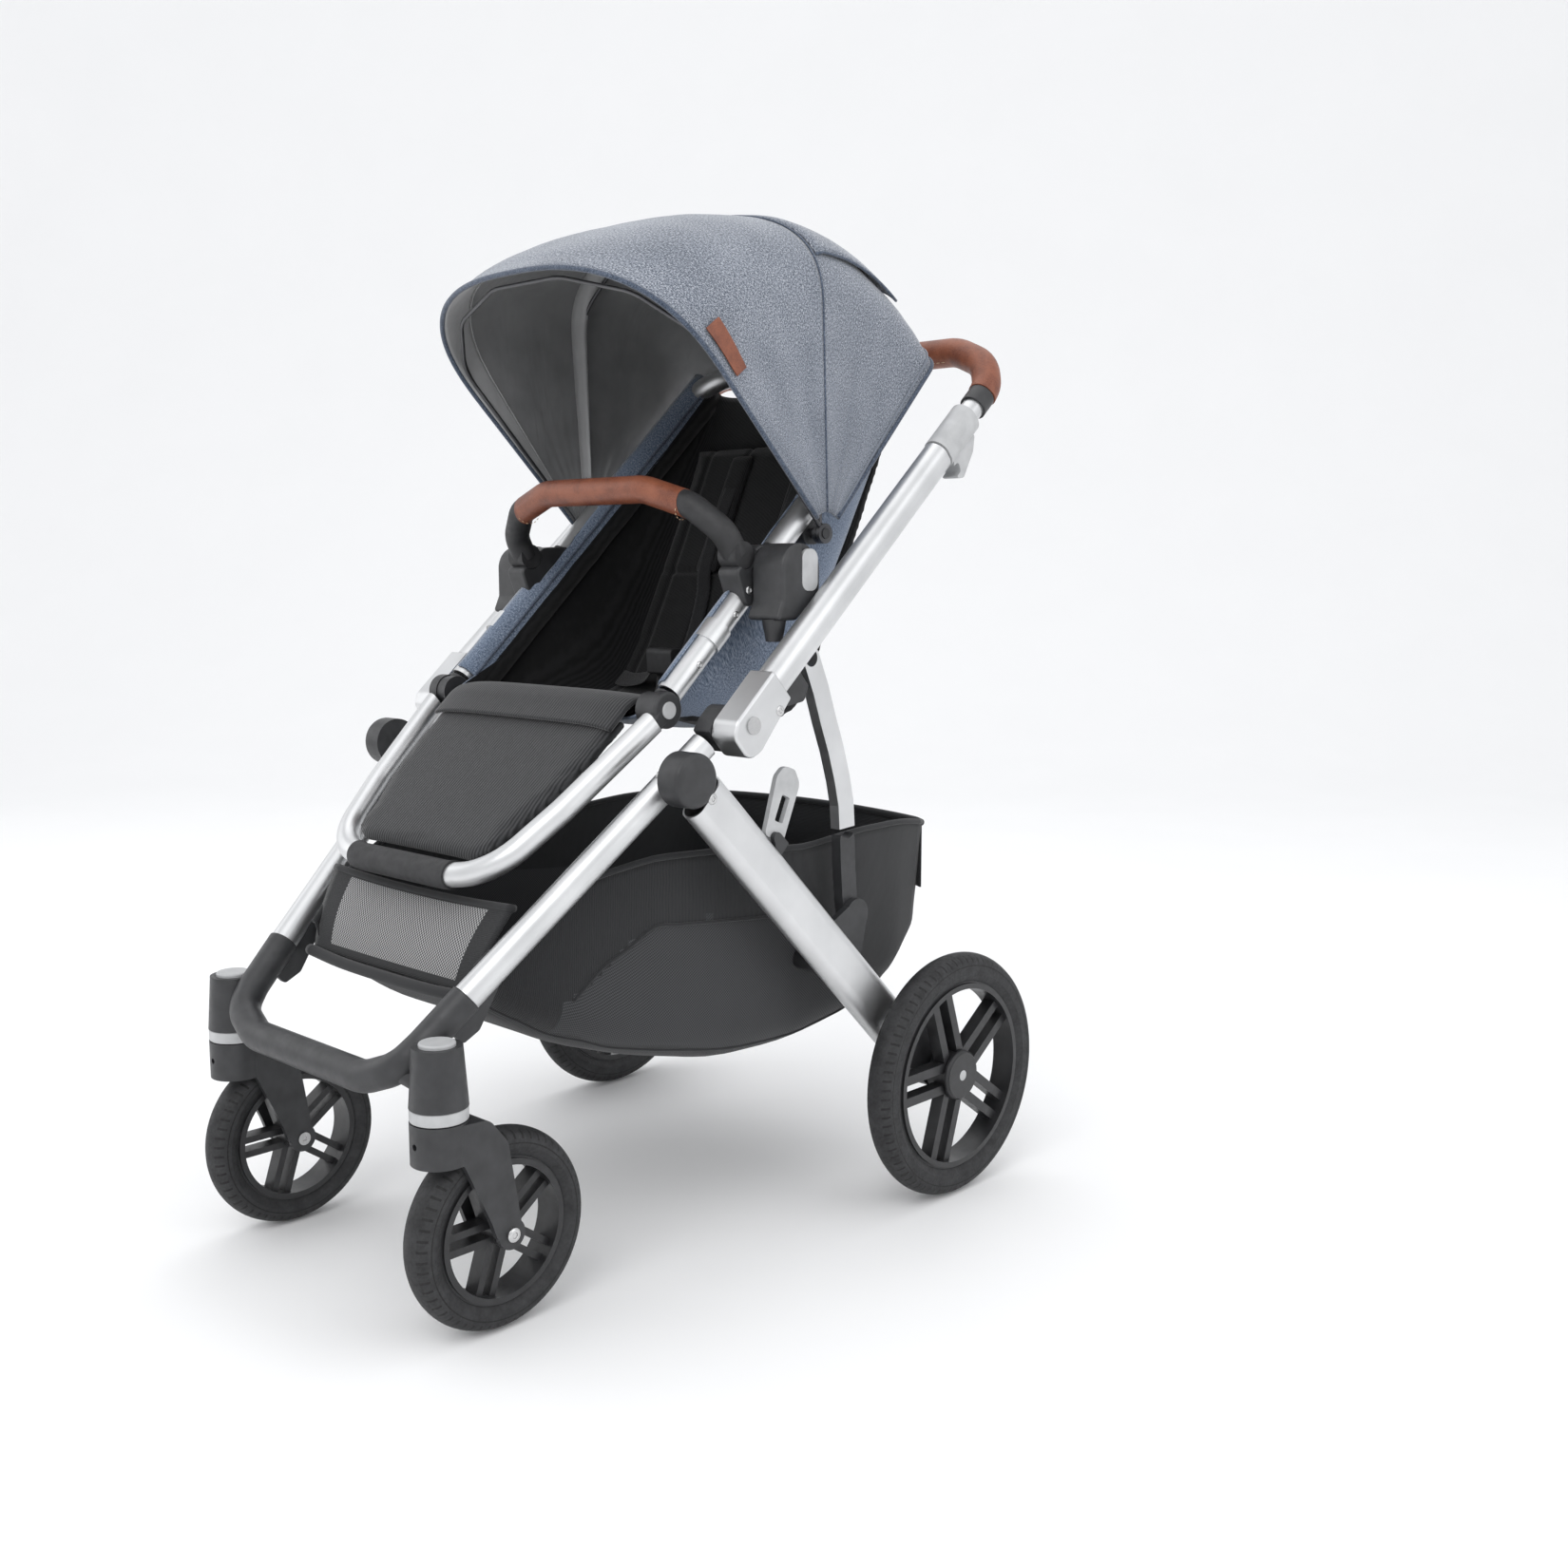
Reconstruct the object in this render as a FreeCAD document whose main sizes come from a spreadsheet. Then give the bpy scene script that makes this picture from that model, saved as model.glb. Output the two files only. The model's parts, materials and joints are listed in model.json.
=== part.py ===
import FreeCAD, Part
import math, os
import Sketcher
from FreeCAD import Vector as V, Placement, Rotation

# Baby stroller: folding aluminium chassis on two swivelling front casters and
# two rear wheels, telescoping handlebar, reclining toddler seat with a leg
# rest, bumper bar and folding canopy, and a storage basket under the seat.
# Frame: +X the passenger's left, -Y the front, +Z up, floor at Z = 0,
# origin under the middle of the bounding box.  Millimetres.

os.makedirs("parts", exist_ok=True)
doc = FreeCAD.newDocument("stroller")
sheet = doc.addObject("Spreadsheet::Sheet", "Dimensions")
D = {}


def dim(alias, value):
    row = len(D) + 1
    sheet.set("A%d" % row, alias)
    sheet.set("B%d" % row, repr(float(value)))
    sheet.setAlias("B%d" % row, alias)
    D[alias] = float(value)


for alias, value in (
        # wheels
        ("front_radius", 101.5), ("front_width", 39), ("front_x", 194.3), ("front_y", -316.25),
        ("rear_radius", 146), ("rear_width", 35), ("rear_x", 309.5), ("rear_y", 271.75),
        ("stem_y", -378), ("stem_dia", 12),
        # chassis
        ("lower_dia", 30), ("lower_wall", 2), ("lower_end", 348.5),
        ("upper_wide", 32), ("upper_high", 38), ("upper_wall", 2), ("upper_x", 268),
        ("upper_start", 441), ("upper_end", 816),
        ("leg_wide", 28), ("leg_high", 56), ("leg_wall", 2), ("leg_x", 266.5),
        ("cross_dia", 25), ("cross_len", 503.4),
        ("pin_dia", 14), ("bolt_dia", 12),
        # handlebar
        ("slider_dia", 27), ("grip_dia", 35), ("slider_len", 205),
        # seat
        ("seat_tube_dia", 28), ("seat_x", 185), ("rest_tube_dia", 26),
        ("bumper_dia", 31), ("canopy_x", 214), ("canopy_skin", 2.4),
        ("bow_dia", 4.6), ("insert_thick", 12)):
    dim(alias, value)
doc.recompute()

# ---------------------------------------------------------------- layout
TILT = math.radians(41.7)            # slope of the side frame line
CU, SU = math.cos(TILT), math.sin(TILT)
A = (-44.0, 585.0)                   # fold pivots
B = (-119.0, 534.0)                  # rear leg pivots
C = (85.0, 648.0)                    # link arm, upper (open) pivot
DP = (155.0, 350.0)                  # link arm, lower pivot
HUB = (71.4, 745.0)                  # seat recline hubs
CAN = (151.4, 785.0)                 # canopy pivots
REST = (-85.8, 598.5)                # leg rest hubs
BUMP = (31.3, 760.0)                 # bumper bar pivots
SEAT = math.radians(43.2)            # slope of the seat's side tubes


def fr(x, s_, o):
    "point on the side frame: s_ along the frame line, o above it"
    return V(x, -327.8 + CU * s_ - SU * o, 332.0 + SU * s_ + CU * o)


def lower_x(s_):
    return 172.4 + 0.186 * s_


def seat_pt(x, k, o=0.0):
    "point on the seat's side tube line: k along it from the hub, o above it"
    return V(x, HUB[0] + k * math.cos(SEAT) - o * math.sin(SEAT),
             HUB[1] + k * math.sin(SEAT) + o * math.cos(SEAT))


# ---------------------------------------------------------------- helpers
parts = []


def keep(obj, label):
    obj.Label = label
    parts.append(obj)
    return obj


def feat(label, shape, place=None):
    "a shape made with Part's own functions"
    o = doc.addObject("Part::Feature", label)
    o.Shape = shape
    if place is not None:
        o.Placement = place
    return keep(o, label)


def mir(shape):
    return shape.mirror(V(0, 0, 0), V(1, 0, 0))


def pair(label, *shapes):
    "left pieces as drawn (+X) and their mirror images, one node of separate solids"
    feat(label, Part.makeCompound([x_ for s_ in shapes for x_ in (s_.copy(), mir(s_))]))


def tubes(label, left_, right_):
    "a left and a right tube as one node"
    for t_ in (left_, right_):
        parts.remove(t_)
    c_ = doc.addObject("Part::Compound", label)
    c_.Links = [left_, right_]
    keep(c_, label)


def cyl(r, p, q):
    p, q = V(*p), V(*q)
    return Part.makeCylinder(r, (q - p).Length, p, q - p)


def wire3(points, radii):
    "straight runs joined by tangent arcs"
    pts = [V(*p) for p in points]
    edges, last = [], pts[0]
    for i in range(1, len(pts) - 1):
        r = radii[i - 1] if isinstance(radii, (list, tuple)) else radii
        a, b, c = pts[i - 1], pts[i], pts[i + 1]
        u, w = (a - b), (c - b)
        u.normalize(); w.normalize()
        half = math.acos(max(-1, min(1, u.dot(w)))) / 2
        t_ = r / math.tan(half)
        p, q = b + u * t_, b + w * t_
        m = (u + w); m.normalize()
        mid = b + m * (r / math.sin(half) - r)
        if (p - last).Length > 1e-6:
            edges.append(Part.LineSegment(last, p).toShape())
        edges.append(Part.Arc(p, mid, q).toShape())
        last = q
    edges.append(Part.LineSegment(last, pts[-1]).toShape())
    return Part.Wire(edges)


def pipe(points, radii, r, wall=0.0):
    w = wire3(points, radii)
    d = V(*points[1]) - V(*points[0])
    def one(rr):
        c = Part.Wire([Part.Circle(V(*points[0]), d, rr).toShape()])
        return w.makePipeShell([c], True, False)
    s_ = one(r)
    if wall:
        s_ = s_.cut(one(r - wall))
    return s_


def prism(yz, x0, x1, rounds=None):
    "closed outline in the YZ plane, extruded from x0 to x1; rounds: corner radii"
    n = len(yz)
    pts = [V(x0, p[0], p[1]) for p in yz]
    edges = []
    if rounds is None:
        rounds = [0] * n
    elif not isinstance(rounds, (list, tuple)):
        rounds = [rounds] * n
    seg = []
    for i in range(n):
        a, b, c = pts[i - 1], pts[i], pts[(i + 1) % n]
        if rounds[i] <= 0:
            seg.append((b, None, b)); continue
        u, w = a - b, c - b
        u.normalize(); w.normalize()
        half = math.acos(max(-1, min(1, u.dot(w)))) / 2
        t_ = rounds[i] / math.tan(half)
        m = u + w; m.normalize()
        seg.append((b + u * t_, b + m * (rounds[i] / math.sin(half) - rounds[i]), b + w * t_))
    for i in range(n):
        p, mid, q = seg[i]
        if mid is not None:
            edges.append(Part.Arc(p, mid, q).toShape())
        nxt = seg[(i + 1) % n][0]
        if (nxt - q).Length > 1e-6:
            edges.append(Part.LineSegment(q, nxt).toShape())
    return Part.Face(Part.Wire(edges)).extrude(V(x1 - x0, 0, 0))


def frame_prism(so, x0, x1, rounds=None):
    return prism([(fr(0, a, b).y, fr(0, a, b).z) for a, b in so], x0, x1, rounds)


def slot_solid(p, q, wide_x, high, grow=0.0):
    "obround bar, long side square to X, from p to q in a plane of constant X"
    p, q = V(*p), V(*q)
    d = q - p; L_ = d.Length; d.normalize()
    up = V(1, 0, 0).cross(d)
    hx, hh = wide_x / 2 - grow, high / 2 - grow
    r = min(hx, hh)
    k = hh - r
    a, b = p + up * k, p - up * k
    x = V(1, 0, 0)
    if k > 0.01:
        e = [Part.Arc(a + x * r, a + up * r, a - x * r).toShape(),
             Part.LineSegment(a - x * r, b - x * r).toShape(),
             Part.Arc(b - x * r, b - up * r, b + x * r).toShape(),
             Part.LineSegment(b + x * r, a + x * r).toShape()]
        w = Part.Wire(e)
    else:
        w = Part.Wire([Part.Circle(p, d, r).toShape()])
    return Part.Face(w).extrude(d * L_)


def fillet_safe(shape, r, edges=None):
    try:
        s_ = shape.makeFillet(r, edges or shape.Edges)
        if s_.isValid() and s_.Volume > 0:
            return s_
    except Exception:
        pass
    return shape


def plane_of(b, role):
    for o in b.Origin.OriginFeatures:
        if o.Role == role:
            return o


def pd_body(name):
    b = doc.addObject("PartDesign::Body", name)
    return b


def pd_sketch(b, role, name):
    s_ = b.newObject("Sketcher::SketchObject", name)
    s_.AttachmentSupport = (plane_of(b, role), [""])
    s_.MapMode = "FlatFace"
    return s_


def pd_tube(label, place, outer, inner, length, wide=None, high=None):
    """straight tube along the body's own Z: round from a bound diameter, or
    obround from a bound width and height; outer/inner/length are expressions"""
    b = pd_body(label)
    sk = pd_sketch(b, "XY_Plane", label + "_section")
    if wide is None:
        sk.addGeometry(Part.Circle(V(0, 0, 0), V(0, 0, 1), 10), False)
        sk.addConstraint(Sketcher.Constraint("Coincident", 0, 3, -1, 1))
        sk.addConstraint(Sketcher.Constraint("Diameter", 0, 20))
        sk.setExpression("Constraints[1]", outer)
        if inner:
            sk.addGeometry(Part.Circle(V(0, 0, 0), V(0, 0, 1), 5), False)
            sk.addConstraint(Sketcher.Constraint("Coincident", 1, 3, -1, 1))
            sk.addConstraint(Sketcher.Constraint("Diameter", 1, 10))
            sk.setExpression("Constraints[3]", inner)
    else:
        w_, h_, t_ = D[wide], D[high], D[inner]
        n = 0
        for grow, ew, eh in ((0.0, "Dimensions.%s" % wide, "Dimensions.%s" % high),
                             (t_, "Dimensions.%s - 2 * Dimensions.%s" % (wide, inner),
                              "Dimensions.%s - 2 * Dimensions.%s" % (high, inner))):
            r = w_ / 2 - grow
            k = h_ / 2 - grow - r
            g0 = len(sk.Geometry)
            sk.addGeometry(Part.ArcOfCircle(Part.Circle(V(0, k, 0), V(0, 0, 1), r), 0, math.pi), False)
            sk.addGeometry(Part.LineSegment(V(-r, k, 0), V(-r, -k, 0)), False)
            sk.addGeometry(Part.ArcOfCircle(Part.Circle(V(0, -k, 0), V(0, 0, 1), r), math.pi, 2 * math.pi), False)
            sk.addGeometry(Part.LineSegment(V(r, -k, 0), V(r, k, 0)), False)
            for c in (("Tangent", g0, 2, g0 + 1, 1), ("Tangent", g0 + 1, 2, g0 + 2, 1),
                      ("Tangent", g0 + 2, 2, g0 + 3, 1), ("Tangent", g0 + 3, 2, g0, 1),
                      ("Symmetric", g0, 3, g0 + 2, 3, -1, 1), ("PointOnObject", g0, 3, -2)):
                sk.addConstraint(Sketcher.Constraint(*c)); n += 1
            sk.addConstraint(Sketcher.Constraint("Radius", g0, r)); sk.setExpression("Constraints[%d]" % n, "(%s) / 2" % ew); n += 1
            sk.addConstraint(Sketcher.Constraint("DistanceY", g0 + 2, 3, g0, 3, 2 * k))
            sk.setExpression("Constraints[%d]" % n, "(%s) - (%s)" % (eh, ew)); n += 1
    pad = b.newObject("PartDesign::Pad", label + "_pad")
    pad.Profile = sk
    pad.setExpression("Length", length)
    b.Placement = place
    return keep(b, label)


def along(p, d):
    "placement whose Z runs along d, with the body's Y in the plane of X and Z"
    d = V(*d); d.normalize()
    return Placement(V(*p), Rotation(V(1, 0, 0), V(0, 0, 0), d, "ZXY"))


# ---------------------------------------------------------------- wheels
def tyre(label, x, y, radius, width, tyre_deep):
    "rubber tyre: section revolved about the axle"
    b = pd_body(label)
    sk = pd_sketch(b, "XY_Plane", label + "_section")
    R, w = D[radius], D[width] / 2
    ri = R - tyre_deep
    P = [V(-w + 5, ri, 0), V(-w, ri + 9, 0), V(-w * 0.98, R - tyre_deep * 0.45, 0), V(-w * 0.62, R - 3.2, 0)]
    M = [V(-p.x, p.y, 0) for p in P]
    g = [Part.LineSegment(P[0], P[1]), Part.LineSegment(P[1], P[2]),
         Part.Arc(P[2], V(-w * 0.88, R - 7.0, 0), P[3]), Part.Arc(P[3], V(0, R, 0), M[3]),
         Part.Arc(M[3], V(w * 0.88, R - 7.0, 0), M[2]), Part.LineSegment(M[2], M[1]),
         Part.LineSegment(M[1], M[0]), Part.LineSegment(M[0], P[0])]
    for e in g:
        sk.addGeometry(e, False)
    rev = b.newObject("PartDesign::Revolution", label + "_turn")
    rev.Profile = sk
    rev.ReferenceAxis = (sk, ["H_Axis"])
    rev.Angle = 360
    b.Placement = Placement(V(x, y, R), Rotation())
    b.setExpression("Placement.Base.z", "Dimensions.%s * 1 mm" % radius)
    return keep(b, label)


def rim(label, x, y, R, ri, w, hub_r, hub_w, bore, spoke_w, gap, dish):
    "plastic rim: bead ring, hub, and five pairs of parallel spokes"
    ring = cyl(ri - 0.2, (-w / 2 + 5.2, 0, 0), (w / 2 - 5.2, 0, 0)).cut(cyl(ri - 8.5, (-w, 0, 0), (w, 0, 0)))
    lip = cyl(ri + 3.2, (w / 2 - 5.0, 0, 0), (w / 2 - 3.2, 0, 0)).cut(cyl(ri - 8.5, (0, 0, 0), (w, 0, 0)))
    lip2 = lip.mirror(V(0, 0, 0), V(1, 0, 0))
    # the lips stand beside the bead seat, clear of the tyre's inner corner
    body = ring
    for s_ in (-1, 1):
        body = body.fuse(cyl(ri - 2.2, (s_ * (w / 2 - 5.4), 0, 0), (s_ * (w / 2 - 2.5), 0, 0)).cut(
            cyl(ri - 8.5, (-w, 0, 0), (w, 0, 0))))
    body = body.fuse(cyl(hub_r, (-hub_w / 2, 0, 0), (hub_w / 2, 0, 0)))
    sw = w * 0.46
    for k in range(5):
        for side in (-1, 1):
            b_ = Part.makeBox(sw, spoke_w, ri - 5 - hub_r * 0.5,
                              V(-sw / 2, side * (gap + spoke_w) / 2 - spoke_w / 2, hub_r * 0.5))
            b_.rotate(V(0, 0, 0), V(1, 0, 0), 72 * k + 18)
            body = body.fuse(b_)
    body = body.cut(cyl(bore, (-60, 0, 0), (60, 0, 0)))
    body = body.removeSplitter()
    o = feat(label, body, Placement(V(x, y, R), Rotation()))
    return o


FX, FY, FR = D["front_x"], D["front_y"], D["front_radius"]
RX, RY, RR = D["rear_x"], D["rear_y"], D["rear_radius"]
for side, sx in (("left", 1), ("right", -1)):
    tyre("front_tyre_" + side, sx * FX, FY, "front_radius", "front_width", 27)
    rim("front_rim_" + side, sx * FX, FY, FR, FR - 27, D["front_width"], 15, 37, 5.25, 7.5, 9, 0)
    tyre("rear_tyre_" + side, sx * RX, RY, "rear_radius", "rear_width", 33)
    rim("rear_rim_" + side, sx * RX, RY, RR, RR - 33, D["rear_width"], 27, 33, 6.25, 11, 15, 0)

# front axle bolts: shank and two socket heads outside the fork arms
bolt = cyl(5, (-27.6, 0, 0), (27.6, 0, 0)).fuse(cyl(7.4, (27.6, 0, 0), (30.4, 0, 0))).fuse(cyl(7.4, (-30.4, 0, 0), (-27.6, 0, 0)))
for s_ in (-1, 1):
    bolt = bolt.cut(cyl(3, (s_ * 31, 0, 0), (s_ * 28.6, 0, 0)))
for side, sx in (("left", 1), ("right", -1)):
    feat("front_axle_" + side, bolt.copy(), Placement(V(sx * FX, FY, FR), Rotation()))

# ---------------------------------------------------------------- casters
SY = D["stem_y"]
fork = cyl(28.5, (0, SY, 186), (0, SY, 227.4))
fork = fork.fuse(prism([(SY, 226), (SY + 38, 224), (FY - 2, 196), (FY + 12, 108), (FY - 14, 92),
                        (FY - 24, 120), (SY + 8, 186), (SY - 4, 190)], -27.5, 27.5, [3, 16, 22, 10, 10, 8, 6, 3]))
fork = fork.fuse(cyl(15.5, (-27.5, FY, FR), (27.5, FY, FR)))
fork = fork.cut(cyl(FR + 4, (-20.9, FY, FR), (20.9, FY, FR)))
fork = fork.cut(cyl(5.15, (-40, FY, FR), (40, FY, FR)))
fork = fork.cut(cyl(3.2, (0, SY - 40, 207), (0, SY - 20, 207)))     # release hole on the front
stem = cyl(D["stem_dia"] / 2, (0, SY, 220), (0, SY, 280))
fork = fork.fuse(stem).removeSplitter()
for side, sx in (("left", 1), ("right", -1)):
    feat("caster_fork_" + side, fork.copy(), Placement(V(sx * FX, 0, 0), Rotation()))
# light grey bearing rings under the housings
ring = cyl(28.2, (0, SY, 228.0), (0, SY, 240.8)).cut(cyl(6.6, (0, SY, 220), (0, SY, 250)))
ring = fillet_safe(ring, 1.5, [e for e in ring.Edges if abs(e.BoundBox.XLength - 56.4) < 0.1])
ring.translate(V(FX, 0, 0))
pair("swivel_rings", ring)

# front casting: black U that joins the tubes and holds both caster housings
pts = [fr(172.4, 0, 0), fr(161, -60, -1), V(150, -392, 271), V(104, -401, 254)]
left = [tuple(p) for p in pts]
right = [(-p[0], p[1], p[2]) for p in reversed(left)]
cast = pipe(left + right, [60, 40, 60, 60, 40, 60], 16.5)
for sx in (1, -1):
    x = sx * FX
    house = Part.makeCone(28.6, 24.4, 59.0, V(x, SY, 241))
    house = house.fuse(cyl(12, (sx * 158, -382, 283), (x, SY, 268)))
    house = house.fuse(cyl(9, (sx * 152, -390, 266), (x, SY, 252)))
    cast = cast.fuse(house)
    # skirt plate behind each arm where the basket's front strap is fixed
    tab = prism([(-330, 322), (-292, 352), (-286, 338), (-312, 296), (-332, 286), (-345, 300)],
                sx * 168 - 3, sx * 168 + 3, [2, 4, 4, 8, 5, 4])
    cast = cast.fuse(tab)
for sx in (1, -1):
    cast = cast.cut(cyl(6.6, (sx * FX, SY, 230), (sx * FX, SY, 286)))
    cast = cast.cut(cyl(18.4, (sx * FX, SY, 292), (sx * FX, SY, 330)))
    # the tubes' ends
    p0, p1 = fr(sx * lower_x(0), 0, 0), fr(sx * lower_x(60), 60, 0)
    cast = cast.cut(cyl(D["lower_dia"] / 2 + 0.1, tuple(p0), tuple(p1)))
feat("front_casting", cast.copy())

# swivel-lock buttons on top of the housings
lock = cyl(17.8, (0, 0, 0), (0, 0, 8.4))
lock = fillet_safe(lock, 2.0, [e for e in lock.Edges if e.BoundBox.ZMin > 8])
lock.translate(V(FX, SY, 295.4))
pair("swivel_locks", lock)

# ---------------------------------------------------------------- lower frame
p, q = fr(lower_x(0.6), 0.6, 0), fr(lower_x(D["lower_end"]), D["lower_end"], 0)
dim("lower_len", (q - p).Length)
doc.recompute()
lt = []
for side, sx in (("left", 1), ("right", -1)):
    lt.append(pd_tube("lower_tube_" + side, along((sx * p.x, p.y, p.z), (sx * (q.x - p.x), q.y - p.y, q.z - p.z)),
            "Dimensions.lower_dia", "Dimensions.lower_dia - 2 * Dimensions.lower_wall", "Dimensions.lower_len"))
tubes("lower_tubes", *lt)

# fold knuckles: inner halves of the fold hinges, fixed to the lower tubes
kn = frame_prism([(353.5, 15.5), (353.5, -15.5), (368, -19), (398, -19), (398, 19), (368, 19)], 228, 251.3,
                 [2, 2, 14, 16, 16, 14])
pair("fold_knuckles", kn)
# fold pins: rivets through knuckle and housing
pin = cyl(6.9, (252, A[0], A[1]), (286.6, A[0], A[1])).fuse(cyl(9.5, (286.6, A[0], A[1]), (288.4, A[0], A[1])))
# rear leg pivot bolts, from the lower tubes into the leg caps
xb = lower_x(305)
tube_l = cyl(15.2, tuple(fr(lower_x(200), 200, 0)), tuple(fr(lower_x(400), 400, 0)))
bolt = cyl(6, (xb - 4, B[0], B[1]), (276, B[0], B[1])).cut(tube_l)
bolt = max(bolt.Solids, key=lambda z: z.CenterOfMass.x)
pair("pivot_bolts", pin, bolt)

# basket: closed shell with an open top, lofted through its stations
def basket_ring(y, lean, hw_t, hw_b, z_t, z_b, r, t_):
    "rounded U outline in a cross plane, as a closed ring of points"
    hb, ht = hw_b - t_, hw_t - t_
    zb = z_b + t_
    out = []
    for k in range(7):
        a = math.pi / 2 * k / 6
        out.append((hb - r + r * math.sin(a), zb + r - r * math.cos(a)))
    return [( -x_, z_) for x_, z_ in reversed(out)] + out, ht, z_t


def basket_section(y, hw_t, hw_b, z_t, z_b, t_, rise):
    r = min(42.0, (z_t - z_b) * 0.6)
    (ring_, ht, zt) = basket_ring(y, 0, hw_t, hw_b, z_t, z_b, r, t_)
    pts_ = [(-ht, zt + rise)] + ring_ + [(ht, zt + rise)]
    v = [V(a_, y, b_) for a_, b_ in pts_]
    return Part.makePolygon(v + [v[0]])


stations = [(-300, 152, 146, 352, 324), (-255, 168, 160, 395, 285), (-190, 186, 182, 428, 248),
            (-110, 205, 200, 444, 222), (0, 214, 206, 440, 196), (110, 214, 206, 428, 190),
            (210, 212, 204, 436, 200), (300, 206, 198, 436, 224), (352, 196, 184, 428, 262)]
outer = Part.makeLoft([basket_section(y, a, b_, zt, zb, 0, 0) for y, a, b_, zt, zb in stations], True, True)
inner_st = [(-296.5,) + stations[0][1:]] + stations[1:-1] + [(348.5,) + stations[-1][1:]]
inner = Part.makeLoft([basket_section(y, a, b_, zt, zb, 3.5, 30) for y, a, b_, zt, zb in inner_st], True, True)
bask = outer.cut(inner)
bask = bask.cut(cyl(18, (-260, 110, 300), (260, 110, 300)))
feat("basket", max(bask.Solids, key=lambda z: z.Volume))

# ---------------------------------------------------------------- rear frame
r45 = math.sqrt(0.5)
leg0 = (D["leg_x"], B[0] + 27 * r45, B[1] - 27 * r45)
leg_len = 452.0
dim("leg_len", leg_len)
doc.recompute()
lt = []
for side, sx in (("left", 1), ("right", -1)):
    lt.append(pd_tube("rear_leg_" + side, along((sx * leg0[0], leg0[1], leg0[2]), (0, r45, -r45)),
            "", "leg_wall", "Dimensions.leg_len", "leg_wide", "leg_high"))
tubes("rear_legs", *lt)
leg_bar = slot_solid((D["leg_x"], B[0], B[1]), (D["leg_x"], B[0] + 500 * r45, B[1] - 500 * r45), 28, 56)
# black caps that carry the leg on its pivot
cap = cyl(28.6, (252.4, B[0], B[1]), (282.6, B[0], B[1]))
cap = fillet_safe(cap, 6, [e for e in cap.Edges if e.BoundBox.XMin > 282])
cap = cap.cut(slot_solid((D["leg_x"], B[0] + 26.6 * r45, B[1] - 26.6 * r45), (D["leg_x"], B[0] + 60 * r45, B[1] - 60 * r45), 34, 62))
cap = cap.cut(cyl(6.05, (240, B[0], B[1]), (277, B[0], B[1])))
leg_cap = cap
# screw in the top of each leg
e0 = 27 + leg_len
ax_end = (B[0] + e0 * r45, B[1] - e0 * r45)
house = prism([(ax_end[0] + 20.5, ax_end[1] + 20), (ax_end[0] - 19, ax_end[1] - 20), (RY - 22, RR - 14), (RY, RR - 24),
               (RY + 22, RR - 8), (RY + 20, RR + 14)], 253, 288, [6, 6, 14, 10, 14, 8])
house = house.cut(slot_solid((D["leg_x"], B[0] + 400 * r45, B[1] - 400 * r45), (D["leg_x"], ax_end[0] + 0.3 * r45, ax_end[1] - 0.3 * r45), 28.2, 56.2))
house = house.cut(cyl(6.02, (252, RY, RR), (320, RY, RR)))
house = max(house.Solids, key=lambda z: z.Volume)
pair("rear_axle_housings", house)
axle = cyl(5.98, (262, RY, RR), (325.2, RY, RR)).fuse(cyl(9, (288.2, RY, RR), (292.4, RY, RR)).cut(cyl(5.9, (280, RY, RR), (300, RY, RR))))
pair("rear_axles", axle)
xt = doc.addObject("Part::Cylinder", "rear_cross_tube")
xt.setExpression("Radius", "Dimensions.cross_dia / 2")
xt.setExpression("Height", "Dimensions.cross_len + 0.2")
xt.Placement = Placement(V(-D["cross_len"] / 2 - 0.1, 110, 300), Rotation(V(0, 1, 0), 90))
keep(xt, "rear_cross_tube")

# link brackets: plates from the legs up to the link pivots
lb = cyl(19, (250.6, DP[0], DP[1]), (258.6, DP[0], DP[1]))
lb = lb.fuse(prism([(DP[0] - 15, DP[1] + 12), (DP[0] + 16, DP[1] - 10), (DP[0] + 4, DP[1] - 62), (DP[0] - 52, DP[1] - 6)],
                   250.6, 258.6, 3))
lb = lb.fuse(cyl(5.4, (240, DP[0], DP[1]), (252, DP[0], DP[1])))
lb = lb.cut(leg_bar)
lb = max(lb.Solids, key=lambda z: z.Volume)
# ears and pin that hold the storage latch on the left leg
ears = None
for x0, x1 in ((255.0, 260.6), (267.4, 273.0)):
    e_ = cyl(6.0, (x0, 7, 460), (x1, 7, 460)).fuse(prism([(2.7, 455.7), (11.3, 464.3), (24, 452), (6, 434)], x0, x1))
    ears = e_ if ears is None else ears.fuse(e_)
ears = ears.fuse(cyl(2.5, (255.5, 7, 460), (272.5, 7, 460))).cut(leg_bar)
ears = max(ears.Solids, key=lambda z: z.Volume)
feat("leg_fittings", Part.makeCompound([leg_cap.copy(), mir(leg_cap), lb.copy(), mir(lb), ears.copy()]))

# brake pedal on the right axle housing
bp = cyl(15, (-252.4, RY, RR), (-227, RY, RR)).fuse(
    prism([(RY + 4, RR + 14), (RY + 62, RR + 30), (RY + 66, RR + 22), (RY + 10, RR - 12)], -250, -228, [2, 3, 3, 4]))
feat("brake_pedal", bp)

# storage latch: grey loop on the left leg
sl = prism([(-7, 464), (21, 452), (48, 514), (40, 530), (24, 536), (12, 526)], 261, 267, [6, 6, 14, 8, 12, 12])
sl = sl.cut(prism([(8, 478), (20, 473), (32, 500), (20, 505)], 255, 275, 2))
sl = sl.fuse(cyl(5.4, (261, 7, 460), (267, 7, 460))).cut(cyl(2.56, (255, 7, 460), (275, 7, 460)))
feat("storage_latch", sl)
# ---------------------------------------------------------------- link arms
lp = [(243, 153, 366), (243, 148, 404), (243, 147, 452), (243, 139, 508), (243, 113, 577), (243, C[0] + 3, C[1] - 8)]


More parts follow.
